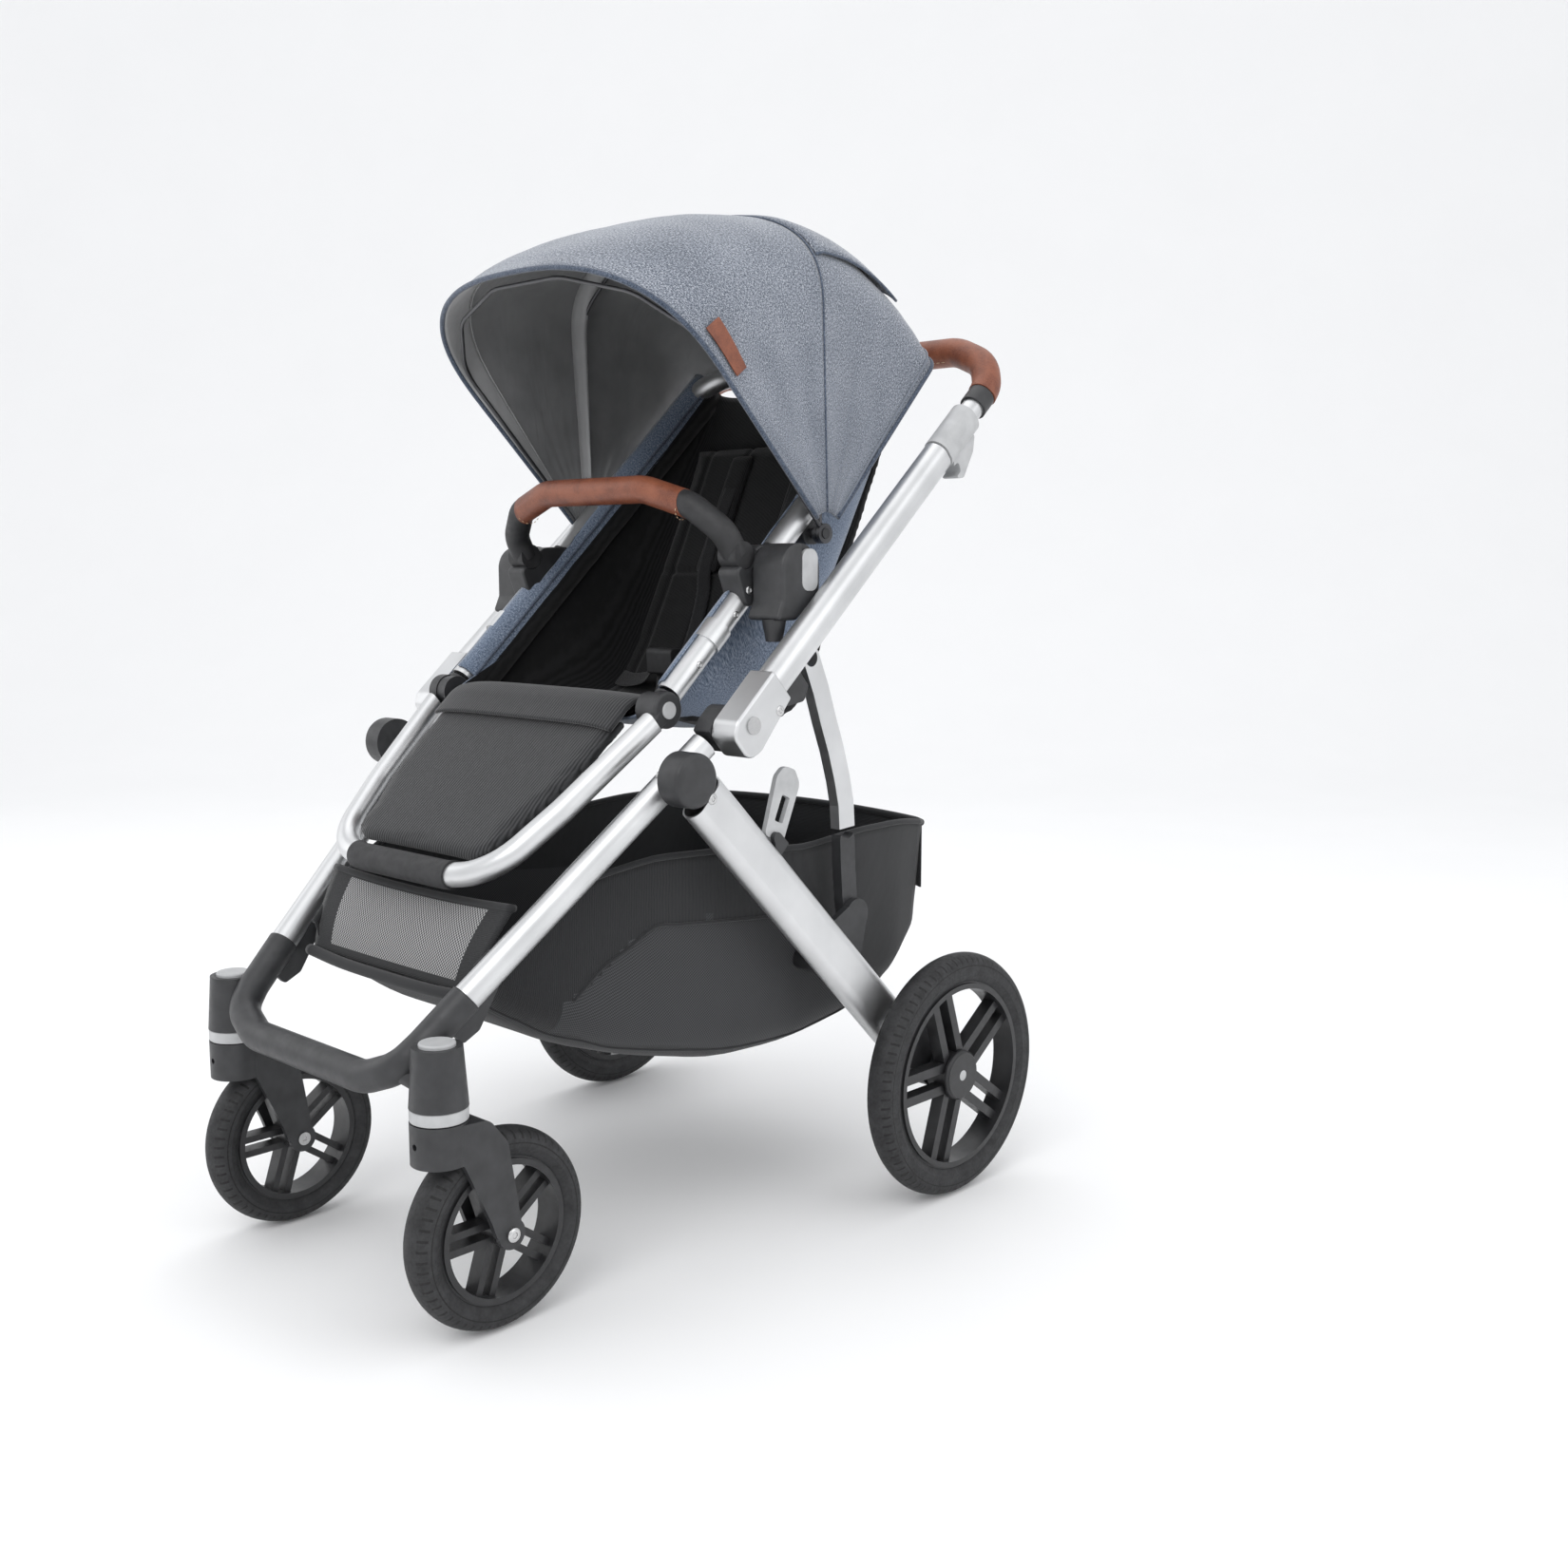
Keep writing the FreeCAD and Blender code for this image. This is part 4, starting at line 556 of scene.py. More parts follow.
def ribbon(name, pts, width, thick, mat_, body, wdir=(1, 0, 0), n=40):
    "flat strap along a line, its width along wdir, with rounded selvedges"
    P = smooth_line(pts, n)
    V_, F_, uv = [], [], []
    prof = [(-1, 0), (-0.94, 0.9), (-0.6, 1), (0, 1), (0.6, 1), (0.94, 0.9), (1, 0), (0.94, -0.9), (0.6, -1), (0, -1), (-0.6, -1), (-0.94, -0.9)]
    w0 = Vector(wdir).normalized()
    L = 0.0
    for i, p in enumerate(P):
        t = (P[min(i + 1, len(P) - 1)] - P[max(i - 1, 0)]).normalized()
        w = (w0 - t * w0.dot(t)).normalized()
        nn = w.cross(t).normalized()
        L += (p - P[i - 1]).length if i else 0
        for a, b in prof:
            V_.append(p + w * (a * width / 2) + nn * (b * thick / 2))
            uv.append((a * width / 2, L))
    m = len(prof)
    for i in range(len(P) - 1):
        for j in range(m):
            F_.append((i * m + j, i * m + (j + 1) % m, (i + 1) * m + (j + 1) % m, (i + 1) * m + j))
    F_.append(tuple(range(m))[::-1])
    F_.append(tuple(range((len(P) - 1) * m, len(P) * m)))
    return obj(name, V_, F_, mat_, body, uv)


def lathe(profile, axis_p, axis_d, n=40):
    "profile of (along, radius) turned about a line"
    d = Vector(axis_d).normalized()
    a = Vector((0, 0, 1)) if abs(d.z) < 0.9 else Vector((0, 1, 0))
    u = (a - d * a.dot(d)).normalized()
    w = d.cross(u)
    V_, F_ = [], []
    for x, r in profile:
        for j in range(n):
            t = 2 * math.pi * j / n
            V_.append(Vector(axis_p) + d * x + (u * math.cos(t) + w * math.sin(t)) * r)
    for i in range(len(profile) - 1):
        for j in range(n):
            F_.append((i * n + j, i * n + (j + 1) % n, (i + 1) * n + (j + 1) % n, (i + 1) * n + j))
    F_.append(tuple(range(n))[::-1])
    F_.append(tuple(range((len(profile) - 1) * n, len(profile) * n)))
    return V_, F_


def turned(name, items, mat_, body, n=40):
    V_, F_ = [], []
    for prof, p, d in items:
        v, f = lathe(prof, p, d, n)
        F_ += [tuple(i + len(V_) for i in q) for q in f]
        V_ += v
    o_ = obj(name, V_, F_, mat_, body)
    b = o_.modifiers.new("e", "BEVEL")
    b.width, b.segments, b.limit_method, b.angle_limit = 0.0003, 2, "ANGLE", math.radians(35)
    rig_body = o_.get("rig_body")
    return o_


def screw_prof(r, h):
    "domed screw head with a recess"
    return [(0, r), (h * 0.55, r), (h * 0.9, r * 0.82), (h, r * 0.55), (h * 0.98, r * 0.42), (h * 0.35, r * 0.38), (h * 0.3, r * 0.02)]


def grid(name, rows, mats, body=None, uvs=None, midx=None, flip=False):
    "rows of equal-length point lists"
    a, b = len(rows), len(rows[0])
    V_ = [p for r_ in rows for p in r_]
    F_ = []
    for i in range(a - 1):
        for j in range(b - 1):
            q = (i * b + j, i * b + j + 1, (i + 1) * b + j + 1, (i + 1) * b + j)
            F_.append(q[::-1] if flip else q)
    return obj(name, V_, F_, mats, body, [u for r_ in uvs for u in r_] if uvs else None, midx)


# ------------------------------------------------------------------ canopy
CAN = (0.1514, 0.785)
CX = 0.214
TAB = [(47, 314), (58, 334), (70, 350), (80, 361), (92, 367), (100, 366), (110, 369), (122, 380), (135, 391)]
TA = np.array([a for a, _ in TAB], float)
TR = np.array([r for _, r in TAB], float)


def crown(phi):
    "smooth crown radius through the table"
    i = float(np.interp(phi, TA, TR))
    lo, hi = float(np.interp(max(47, phi - 5), TA, TR)), float(np.interp(min(135, phi + 5), TA, TR))
    if phi - 5 < 47 or phi + 5 > 135 or abs(phi - 92) < 5:
        return i * mm
    return (0.5 * i + 0.25 * (lo + hi)) * mm


def straight(phi):
    return (264 + (227 - 264) * min(1.0, max(0.0, (phi - 47) / 88.0))) * mm


def can_row(phi, n=120, off=0.0, rmin=0.024):
    "points from the left foot over the crown to the right foot, n + 1 of them"
    hx, h0, h1, e = CX - off, straight(phi), crown(phi) - off, 2.6
    half = [(hx, rmin + (h0 - rmin) * k / 12) for k in range(12)]
    for k in range(41):
        t = math.pi / 2 * k / 40
        half.append((hx * max(0.0, math.cos(t)) ** (2 / e) if k < 40 else 0.0, h0 + (h1 - h0) * math.sin(t) ** (2 / e)))
    full = half + [(-x, r) for x, r in half[-2::-1]]
    P = np.array(full)
    L = np.concatenate([[0], np.cumsum(np.hypot(*np.diff(P, axis=0).T))])
    s = np.linspace(0, L[-1], n + 1)
    return np.interp(s, L, P[:, 0]), np.interp(s, L, P[:, 1]), s


def can_pos(x, r, phi):
    a = math.radians(phi)
    return Vector((x, CAN[0] + r * math.cos(a), CAN[1] + r * math.sin(a)))


def can_grid(p0, p1, steps, off=0.0, n=120, wrinkle=1.0):
    rows, uvs = [], []
    for i in range(steps + 1):
        phi = p0 + (p1 - p0) * i / steps
        xs, rs, ss = can_row(phi, n, off)
        row, uv = [], []
        for x, r, s in zip(xs, rs, ss):
            f = (phi - 47) / 45 if phi < 92 else (phi - 92) / 43
            span = math.sin(math.pi * min(1, max(0, f)))
            side = abs(x) / CX
            up = max(0.0, min(1.0, r / 0.2))
            # cloth pulled straight between the bows, creased towards the foot
            dx = -0.004 * span * side ** 3 * up
            cr = math.sin(phi * 0.9 + 3.1 * noise.noise(Vector((x * 3, r * 4, phi * 0.02)))) * 0.0016 * (1 - up) * span
            w = noise.noise(Vector((x * 9, r * 9 + 5, phi * 0.12))) * 0.0016 + noise.noise(Vector((x * 24, r * 24, phi * 0.3 + 9))) * 0.0007
            d = (w * span + cr) * wrinkle
            hem = 0.0012 * math.exp(-((phi - 131.2) / 0.5) ** 2) if p1 > 100 else 0.0
            seam = 0.0011 * math.exp(-((abs(phi - 92)) / 0.7) ** 2)
            k = 1 + (d - hem - seam) / 0.36
            row.append(can_pos((x + dx * math.copysign(1, x)) * (1 + (d - hem) * 2), r * k, phi))
            uv.append((s - 0.5 * ss[-1], math.radians(phi) * 0.37))
        rows.append(row)
        uvs.append(uv)
    return rows, uvs


def blend_by_angle(o_, a, b, p0, p1):
    "the cloth turns evenly between its two bows"
    p = lambda q: (0.0, CAN[0] + 0.3 * math.cos(math.radians(q)), CAN[1] + 0.3 * math.sin(math.radians(q)))
    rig.blend(o_, a, b, p(p0), p(p1))
    w = []
    for v in o_.data.vertices:
        phi = math.degrees(math.atan2(v.co.z - CAN[1], v.co.y - CAN[0]))
        w.append(min(1.0, max(0.0, (phi - p0) / (p1 - p0))))
    o_.data.attributes["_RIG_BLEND"].data.foreach_set("value", w)
    return o_


def two_ply(o_, thick, offset=-1):
    m_ = o_.modifiers.new("s", "SOLIDIFY")
    m_.thickness, m_.offset, m_.use_even_offset = thick, offset, True
    m_.material_offset, m_.material_offset_rim = 1, 0
    return settle(o_)


def net_window(o_, inner, phis, half, idx):
    "the lining's net window: faces of the inner ply inside a patch"
    for p in o_.data.polygons:
        if p.material_index == inner:
            c = p.center
            phi = math.degrees(math.atan2(c.z - CAN[1], c.y - CAN[0]))
            if phis[0] < phi < phis[1] and abs(c.x) < half:
                p.material_index = idx


sheets = {}
for nm, p0, p1, a, b, node in (("canopy_sheet_rear", 47.0, 92.0, "seat", "canopy_mid", "canopy_rear"),
                               ("canopy_sheet_front", 92.0, 135.0, "canopy_mid", "canopy_front", "canopy_front")):
    rows, uvs = can_grid(p0, p1, 36)
    o_ = grid(nm, rows, [M["canopy"], M["lining"], M["window"]], None, uvs)
    c = o_.data.polygons[36 * 60 // 2].center
    mid = o_.data.polygons[len(o_.data.polygons) // 2 + 60]
    if mid.normal.dot(Vector((mid.center.x, mid.center.y - CAN[0], mid.center.z - CAN[1]))) < 0:
        o_.data.flip_normals()
    two_ply(o_, 0.0022)
    if node == "canopy_rear":
        net_window(o_, 1, (60, 88), 0.115, 2)
    area = sum(p.area for p in o_.data.polygons if p.material_index == 0)
    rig.replaces(o_, node)
    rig.slot(o_, "canopy_fabric")
    blend_by_angle(o_, a, b, p0, p1)
    sheets[nm] = (o_, area)

for nm, wid, length in (("canopy_sheet_rear", 1.02, 0.30), ("canopy_sheet_front", 1.02, 0.29)):
    o_, area = sheets[nm]
    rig.sheet(o_, flat=(wid, length), held="stretched", area=min(area, 0.999 * wid * length),
             rests_on=["canopy_mid_bow", "canopy_front_bow" if "front" in nm else "canopy_clips"])


def can_line(phi, off, n=120, drop=0):
    xs, rs, _ = can_row(phi, n)
    out = []
    for x, r in list(zip(xs, rs))[drop:len(xs) - drop]:
        k = off / max(0.05, math.hypot(x, r - straight(phi)) + 1e-6)
        out.append(can_pos(x * (1 + off / CX), r + off * (1 if r > straight(phi) else 0), phi))
    return out


# corded edges: rear hem, the seam over the middle bow, the rim
tubes("canopy_piping_rear", [can_line(47.0, 0.0004)], 0.0027, M["piping"], "seat", 10)
tubes("canopy_piping_rear_inner", [can_line(49.6, 0.0006)], 0.0012, M["canopy"], "seat", 8)
tubes("canopy_seam_mid", [can_line(92.0, 0.0002)], 0.0013, M["piping"], "canopy_mid", 8)
tubes("canopy_piping_rim", [can_line(135.0, -0.0006)], 0.0030, M["piping"], "canopy_front", 10)

# inside: the rim's turned hem and the sleeve of the middle bow, both in paler satin


def inner_band(name, p0, p1, off0, off1, body, mat_, bulge=0.0, drop=3):
    rows, uvs = [], []
    for i in range(9):
        f = i / 8
        phi = p0 + (p1 - p0) * f
        off = off0 + (off1 - off0) * f + bulge * math.sin(math.pi * f)
        xs, rs, ss = can_row(phi, 120)
        row, uv = [], []
        for x, r, s in list(zip(xs, rs, ss))[drop:121 - drop]:
            h0, h1 = straight(phi), crown(phi)
            kx = 1 - off / CX
            kr = (r - off) if r > h0 else r
            if r > h0:
                kr = h0 + (r - h0) * (h1 - h0 - off) / (h1 - h0)
            wv = 0.0008 * noise.noise(Vector((x * 30, r * 30, phi)))
            row.append(can_pos(x * kx, kr + wv, phi))
            uv.append((s, math.radians(phi) * 0.37))
        rows.append(row)
        uvs.append(uv)
    o_ = grid(name, rows, [mat_], body, uvs)
    m_ = o_.modifiers.new("s", "SOLIDIFY")
    m_.thickness, m_.offset = 0.0008, 0
    return o_


inner_band("canopy_rim_hem", 127.6, 134.8, 0.0045, 0.0030, "canopy_front", M["lining_hem"], 0.0012)
inner_band("canopy_bow_sleeve", 89.8, 94.2, 0.0032, 0.0032, "canopy_mid", M["lining_hem"], 0.016, 6)
tubes("canopy_hem_stitch", [can_line(127.5, -0.0050, drop=3)], 0.0009, M["lining_hem"], "canopy_front", 6)

# vent flap over the rear half, with its corded edge
rows, uvs = [], []
for i in range(15):
    phi = 62.5 + (91.2 - 62.5) * i / 14
    xs, rs, ss = can_row(phi, 240)
    row, uv = [], []
    m0 = 120
    w = 52 - 3 * (1 - i / 14)
    for j in range(41):
        q = m0 + (j / 40 - 0.5) * 2 * w
        k = int(q)
        x = xs[k] + (xs[min(k + 1, 240)] - xs[k]) * (q - k)
        r = rs[k] + (rs[min(k + 1, 240)] - rs[k]) * (q - k)
        lift = 0.0042 + 0.0035 * (1 - i / 14) * (1 - abs(j / 20 - 1) ** 4)
        if i == 14:
            lift = 0.0012
        row.append(can_pos(x * (1 + lift * 0.8), r + lift, phi))
        uv.append((x, math.radians(phi) * 0.37))
    rows.append(row)
    uvs.append(uv)
flap = grid("canopy_vent_flap", rows, [M["canopy"]], None, uvs)
edge = [r_[0] for r_ in rows[::-1]] + rows[0][1:-1] + [r_[-1] for r_ in rows]
m_ = flap.modifiers.new("s", "SOLIDIFY")
m_.thickness, m_.offset = 0.0018, 0
settle(flap)
blend_by_angle(flap, "seat", "canopy_mid", 47.0, 92.0)
fe = tubes("canopy_flap_piping", [edge], 0.0017, M["piping"], None, 8)
blend_by_angle(fe, "seat", "canopy_mid", 47.0, 92.0)

# ------------------------------------------------------------------ padded pieces


def puff(node, name, cap, voxel, mat_, body, pressure=4.0, outward=None, rest=0.0, ride=True):
    "the CAD solid as a stuffed pad: remeshed, swollen as cloth, its swelling capped"
    src = N[node]
    o_ = bpy.data.objects.new(name, src.data.copy())
    COL.objects.link(o_)
    o_.data.materials.clear()
    o_.data.materials.append(mat_)
    if "UVMap" in o_.data.uv_layers:
        o_.data.uv_layers.remove(o_.data.uv_layers["UVMap"])
    r_ = o_.modifiers.new("r", "REMESH")
    r_.mode, r_.voxel_size, r_.use_smooth_shade = "VOXEL", voxel, True
    settle(o_)
    co0 = np.array([v.co for v in o_.data.vertices])
    nr = np.array([v.normal for v in o_.data.vertices])
    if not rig.quick():
        c_ = o_.modifiers.new("c", "CLOTH")
        st = c_.settings
        st.quality, st.mass = 4, 0.3
        st.tension_stiffness = st.compression_stiffness = 12
        st.shear_stiffness, st.bending_stiffness = 6, 0.6
        st.use_pressure, st.uniform_pressure_force = True, pressure
        st.effector_weights.gravity = 0.0
        c_.collision_settings.use_self_collision = False
        c_.point_cache.frame_start, c_.point_cache.frame_end = 1, 20
        sc = bpy.context.scene
        for f in range(1, 21):
            sc.frame_set(f)
        dg = bpy.context.evaluated_depsgraph_get()
        ev = o_.evaluated_get(dg).data
        co = np.array([v.co for v in ev.vertices])
        o_.modifiers.clear()
        sc.frame_set(1)
    else:
        co = co0 + nr * cap
    d = co - co0
    if outward is not None:
        keep = np.array([outward(c, n) for c, n in zip(co0, nr)])
        d *= keep[:, None]
    ln = np.linalg.norm(d, axis=1)
    k = np.minimum(1.0, cap / np.maximum(ln, 1e-9))
    co = co0 + d * k[:, None]
    o_.data.vertices.foreach_set("co", co.ravel())
    o_.data.update()
    s_ = o_.modifiers.new("u", "SUBSURF")
    s_.levels = s_.render_levels = 1
    settle(o_)
    o_.data.polygons.foreach_set("use_smooth", [True] * len(o_.data.polygons))
    return o_


def press_in(o_, fn):
    co = np.array([v.co for v in o_.data.vertices])
    nr = np.array([v.normal for v in o_.data.vertices])
    d = np.array([fn(c, n) for c, n in zip(co, nr)])
    o_.data.vertices.foreach_set("co", (co + nr * d[:, None]).ravel())
    o_.data.update()


# seat liner: swells on its upper side only, sewn channels and a crease at the hip
def liner_side(c, n):
    return 1.0 if (n[2] * 0.72 - n[1] * 0.69) > 0.15 else 0.12


liner = puff("seat_insert", "seat_liner", 0.0045, 0.005, M["seat"], "seat", 4.0, liner_side)


def liner_seams(c, n):
    if (n[2] * 0.72 - n[1] * 0.69) < 0.2:
        return 0.0
    x = abs(c[0])
    d = 0.0026 * math.exp(-((x - 0.058) / 0.0035) ** 2) + 0.0022 * math.exp(-((x - 0.128) / 0.004) ** 2)
    d += 0.003 * math.exp(-((c[2] - 0.742) / 0.004) ** 2) * (1 if x < 0.13 else 0.4)
    return -d


press_in(liner, liner_seams)
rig.ride(liner, "seat")
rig.replaces(liner, "seat_insert")
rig.slot(liner, "seat_fabric")
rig.padded(liner, fill=0.45)

# calf panel
calf = puff("calf_panel", "calf_pad", 0.0035, 0.005, M["calf"], "legrest", 4.0,
            lambda c, n: 1.0 if (n[2] * 0.77 - n[1] * 0.64) > 0.1 else 0.4)
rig.ride(calf, "legrest")
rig.replaces(calf, "calf_panel")
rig.slot(calf, "calf_fabric")
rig.padded(calf, fill=0.35)

# ------------------------------------------------------------------ seat shell
BOT = [(0.0, -96, 584), (0.10, -30, 571), (0.20, 40, 562), (0.30, 85, 559.5), (0.36, 120, 561), (0.41, 148, 568), (0.46, 168, 581), (0.52, 190, 612),
       (0.58, 208, 645), (0.68, 250, 731), (0.78, 288, 812), (0.88, 327, 895), (0.95, 350, 945), (1.0, 362, 972)]
TOPS = [(0.0, -90, 603), (0.2, -20, 640), (0.46, 96, 746), (0.72, 214, 862), (1.0, 338, 989)]
fb = np.array([b[0] for b in BOT])
by, bz = np.array([b[1] for b in BOT]), np.array([b[2] for b in BOT])
ft = np.array([t[0] for t in TOPS])
ty, tz = np.array([t[1] for t in TOPS]), np.array([t[2] for t in TOPS])
rows, uvs = [], []
L = 0.0
prev = None
for i in range(73):
    f = i / 72
    P = Vector((0, float(np.interp(f, fb, by)) * mm, float(np.interp(f, fb, bz)) * mm))
    T = Vector((0, float(np.interp(f, ft, ty)) * mm, float(np.interp(f, ft, tz)) * mm))
    L += (P - prev).length if prev is not None else 0
    prev = P
    row, uv = [], []
    ex = 5.0
    for j in range(61):
        t = math.pi * j / 60
        cx = math.copysign(abs(math.cos(t)) ** (2 / ex), math.cos(t)) * 0.1668
        dd = max(0.0, math.sin(t)) ** (2 / ex)
        sag = 0.004 * math.sin(math.pi * f) * math.sin(t)
        w = noise.noise(Vector((cx * 10, f * 6, 3))) * 0.0016
        p = T + (P - T) * min(1.0, dd)
        row.append(Vector((cx * (1 - 0.015 * math.sin(2 * t) ** 2 * math.sin(math.pi * f)), p.y - sag * 0.5 + w, p.z + sag * 0.4)))
        uv.append((0.1668 * (1 - 2 * j / 60) * 1.6, L))
    rows.append(row)
    uvs.append(uv)
tub = grid("seat_tub", rows, [M["wing"], M["seat"]], None, uvs)
ctr_face = tub.data.polygons[len(tub.data.polygons) // 2 + 30]
low = min(tub.data.polygons, key=lambda p_: p_.center.z + abs(p_.center.x))
if low.normal.z > 0:
    tub.data.flip_normals()
two_ply(tub, 0.0026)
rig.ride(tub, "seat")
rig.replaces(tub, "seat_shell")
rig.slot(tub, "seat_fabric")
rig.sheet(tub, flat=(0.86, 0.80), held="stretched", area=min(0.86 * 0.80 * 0.999, sum(p.area for p in tub.data.polygons if p.material_index == 0)),
         rests_on=["seat_tubes", "seat_back_hoop"])

# blue wing strips on the tubes' inner side with dark corded edges
SEATA = math.radians(43.2)


def seat_pt(x, k, o=0.0):
    return Vector((x, 0.0714 + (math.cos(SEATA) * k - math.sin(SEATA) * o) * mm, 0.745 + (math.sin(SEATA) * k + math.cos(SEATA) * o) * mm))


for side, sx in (("left", 1), ("right", -1)):
    rows, uvs = [], []
    for i in range(41):
        k = -186 + (366 + 186) * i / 40
        row, uv = [], []
        for j, (x, o) in enumerate(((0.1610, -30), (0.1656, -10), (0.1668, -2), (0.1700, 7.5), (0.1745, 12.5), (0.1790, 14.6), (0.1840, 15.4))):
            if abs(k) < 40 and j > 3:
                x, o = 0.1702, 8.0
            if k > 40 and k < 110 and j > 3:
                x, o = 0.1715, 9.5
            row.append(seat_pt(sx * x, k, o + 0.8 * noise.noise(Vector((k * 0.03, j, sx)))))
            uv.append((j * 0.008, k * mm))
        rows.append(row)
        uvs.append(uv)
    w_ = grid("seat_wing_" + side, rows, [M["wing"], M["seat"]], "seat", uvs)
    for p_ in w_.data.polygons:
        p_.material_index = 1 if min(v_ % 7 for v_ in p_.vertices) == 0 else 0
    m_ = w_.modifiers.new("s", "SOLIDIFY")
    m_.thickness, m_.offset = 0.0016, 0
    line = [r_[2] + Vector((-sx * 0.0012, 0, 0.0012)) for r_ in rows]
    tubes("seat_wing_piping_" + side, [line], 0.0019, M["piping"], "seat", 8)
    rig.slot(w_, "seat_fabric")

# rolled front edge that carries on into the calf panel
REST = (-0.0858, 0.5985)
pr = smooth_line([(0, -0.040, 0.6065), (0, -0.066, 0.6105), (0, -0.088, 0.6125), (0, -0.1035, 0.6060), (0, -0.1165, 0.5945), (0, -0.130, 0.5825)], 30)
rows, uvs = [], []
L = 0
for i, p in enumerate(pr):
    L += (p - pr[i - 1]).length if i else 0
    row, uv = [], []
    for j in range(49):
        f = j / 48 * 2 - 1
        x = 0.1585 * f
        drop = 0.006 * abs(f) ** 6
        row.append(Vector((x, p.y + drop * 0.4, p.z - drop)))
        uv.append((x, L))
    rows.append(row)
    uvs.append(uv)
roll = grid("seat_front_roll", rows, [M["calf"]], None, uvs)
m_ = roll.modifiers.new("s", "SOLIDIFY")
m_.thickness, m_.offset = 0.0035, 0
settle(roll)
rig.blend(roll, "seat", "legrest", (0, -0.070, 0.612), (0, -0.118, 0.593))
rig.slot(roll, "calf_fabric")

# ------------------------------------------------------------------ harness
A0, B0 = Vector((0, 0.188, 0.650)), Vector((0, 0.310, 0.908))
UB = (B0 - A0).normalized()
OB = Vector((0, -UB.z, UB.y))


def back(x, k, o):
    p = A0 + UB * k * mm + OB * o * mm
    return Vector((x, p.y, p.z))


first = None
for side, sx in (("left", 1), ("right", -1)):
    xc = sx * 0.059
    rows = []
    prof = []
    for j in range(28):
        a = 2 * math.pi * j / 28
        c, s = math.cos(a), math.sin(a)
        prof.append((math.copysign(abs(c) ** 0.5, c), math.copysign(abs(s) ** 0.62, s)))
    V_, F_ = [], []
    steps = 34
    for i in range(steps + 1):
        f = i / steps
        k = 96 + (262 - 96) * f
        end = min(1.0, (f * 16 + 0.12), ((1 - f) * 16 + 0.12)) ** 0.5
        quilt = 1 - 0.16 * math.exp(-((f * 5) % 1 - 0.5) ** 2 / 0.006)
        for a, b in prof:
            ww = 0.0185 * (0.93 + 0.07 * end)
            edge = 1 - 0.35 * abs(a) ** 6
            V_.append(back(xc + a * ww, k, 7.6 + b * 4.6 * end * quilt * edge))
    n_ = len(prof)
    for i in range(steps):
        for j in range(n_):
            F_.append((i * n_ + j, i * n_ + (j + 1) % n_, (i + 1) * n_ + (j + 1) % n_, (i + 1) * n_ + j))
    F_.append(tuple(range(n_))[::-1])
    F_.append(tuple(range(steps * n_, (steps + 1) * n_)))
    pad = obj("shoulder_pad_" + side, V_, F_, M["seat"], "seat")
    sm = pad.modifiers.new("u", "SUBSURF")
    sm.levels = sm.render_levels = 1
    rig.padded(pad, fill=0.7)
    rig.slot(pad, "webbing")
    if first is None:
        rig.replaces(pad, "harness")
        first = pad
    # webbing from the pad down to the buckle, and the lap strap
    ribbon("shoulder_strap_" + side, [back(xc, 262, 4), back(xc, 240, 9), back(xc, 160, 13.2), back(xc, 100, 11), back(xc * 0.86, 60, 6.5),
                                       Vector((xc * 0.62, 0.165, 0.640)), Vector((xc * 0.36, 0.1085, 0.640))],
           0.024, 0.0016, M["web"], "seat", n=60)
    ribbon("lap_strap_" + side, [Vector((sx * 0.150, 0.152, 0.606)), Vector((sx * 0.110, 0.136, 0.6045)), Vector((sx * 0.060, 0.121, 0.612)), Vector((sx * 0.023, 0.106, 0.630))],
           0.024, 0.0016, M["web"], "seat", (0, 0.75, 0.65), 40)
ribbon("crotch_strap", [Vector((0, 0.052, 0.5875)), Vector((0, 0.080, 0.5885)), Vector((0, 0.0925, 0.601)), Vector((0, 0.095, 0.6205))], 0.026, 0.0018, M["web"], "seat", n=40)

# ------------------------------------------------------------------ basket
ST = [(-300, 152, 146, 352, 324), (-255, 168, 160, 395, 285), (-190, 186, 182, 428, 248),
      (-110, 205, 200, 444, 222), (0, 214, 206, 440, 196), (110, 214, 206, 428, 190),
      (210, 212, 204, 436, 200), (300, 206, 198, 436, 224), (352, 196, 184, 428, 262)]
SY = np.array([s[0] for s in ST], float)


def st(y, k):
    y0 = np.clip(y, -300, 352)
    v = float(np.interp(y0, SY, [s[k] for s in ST]))
    a, b = float(np.interp(max(-300, y0 - 22), SY, [s[k] for s in ST])), float(np.interp(min(352, y0 + 22), SY, [s[k] for s in ST]))
    return 0.5 * v + 0.25 * (a + b) if -278 < y0 < 330 else v


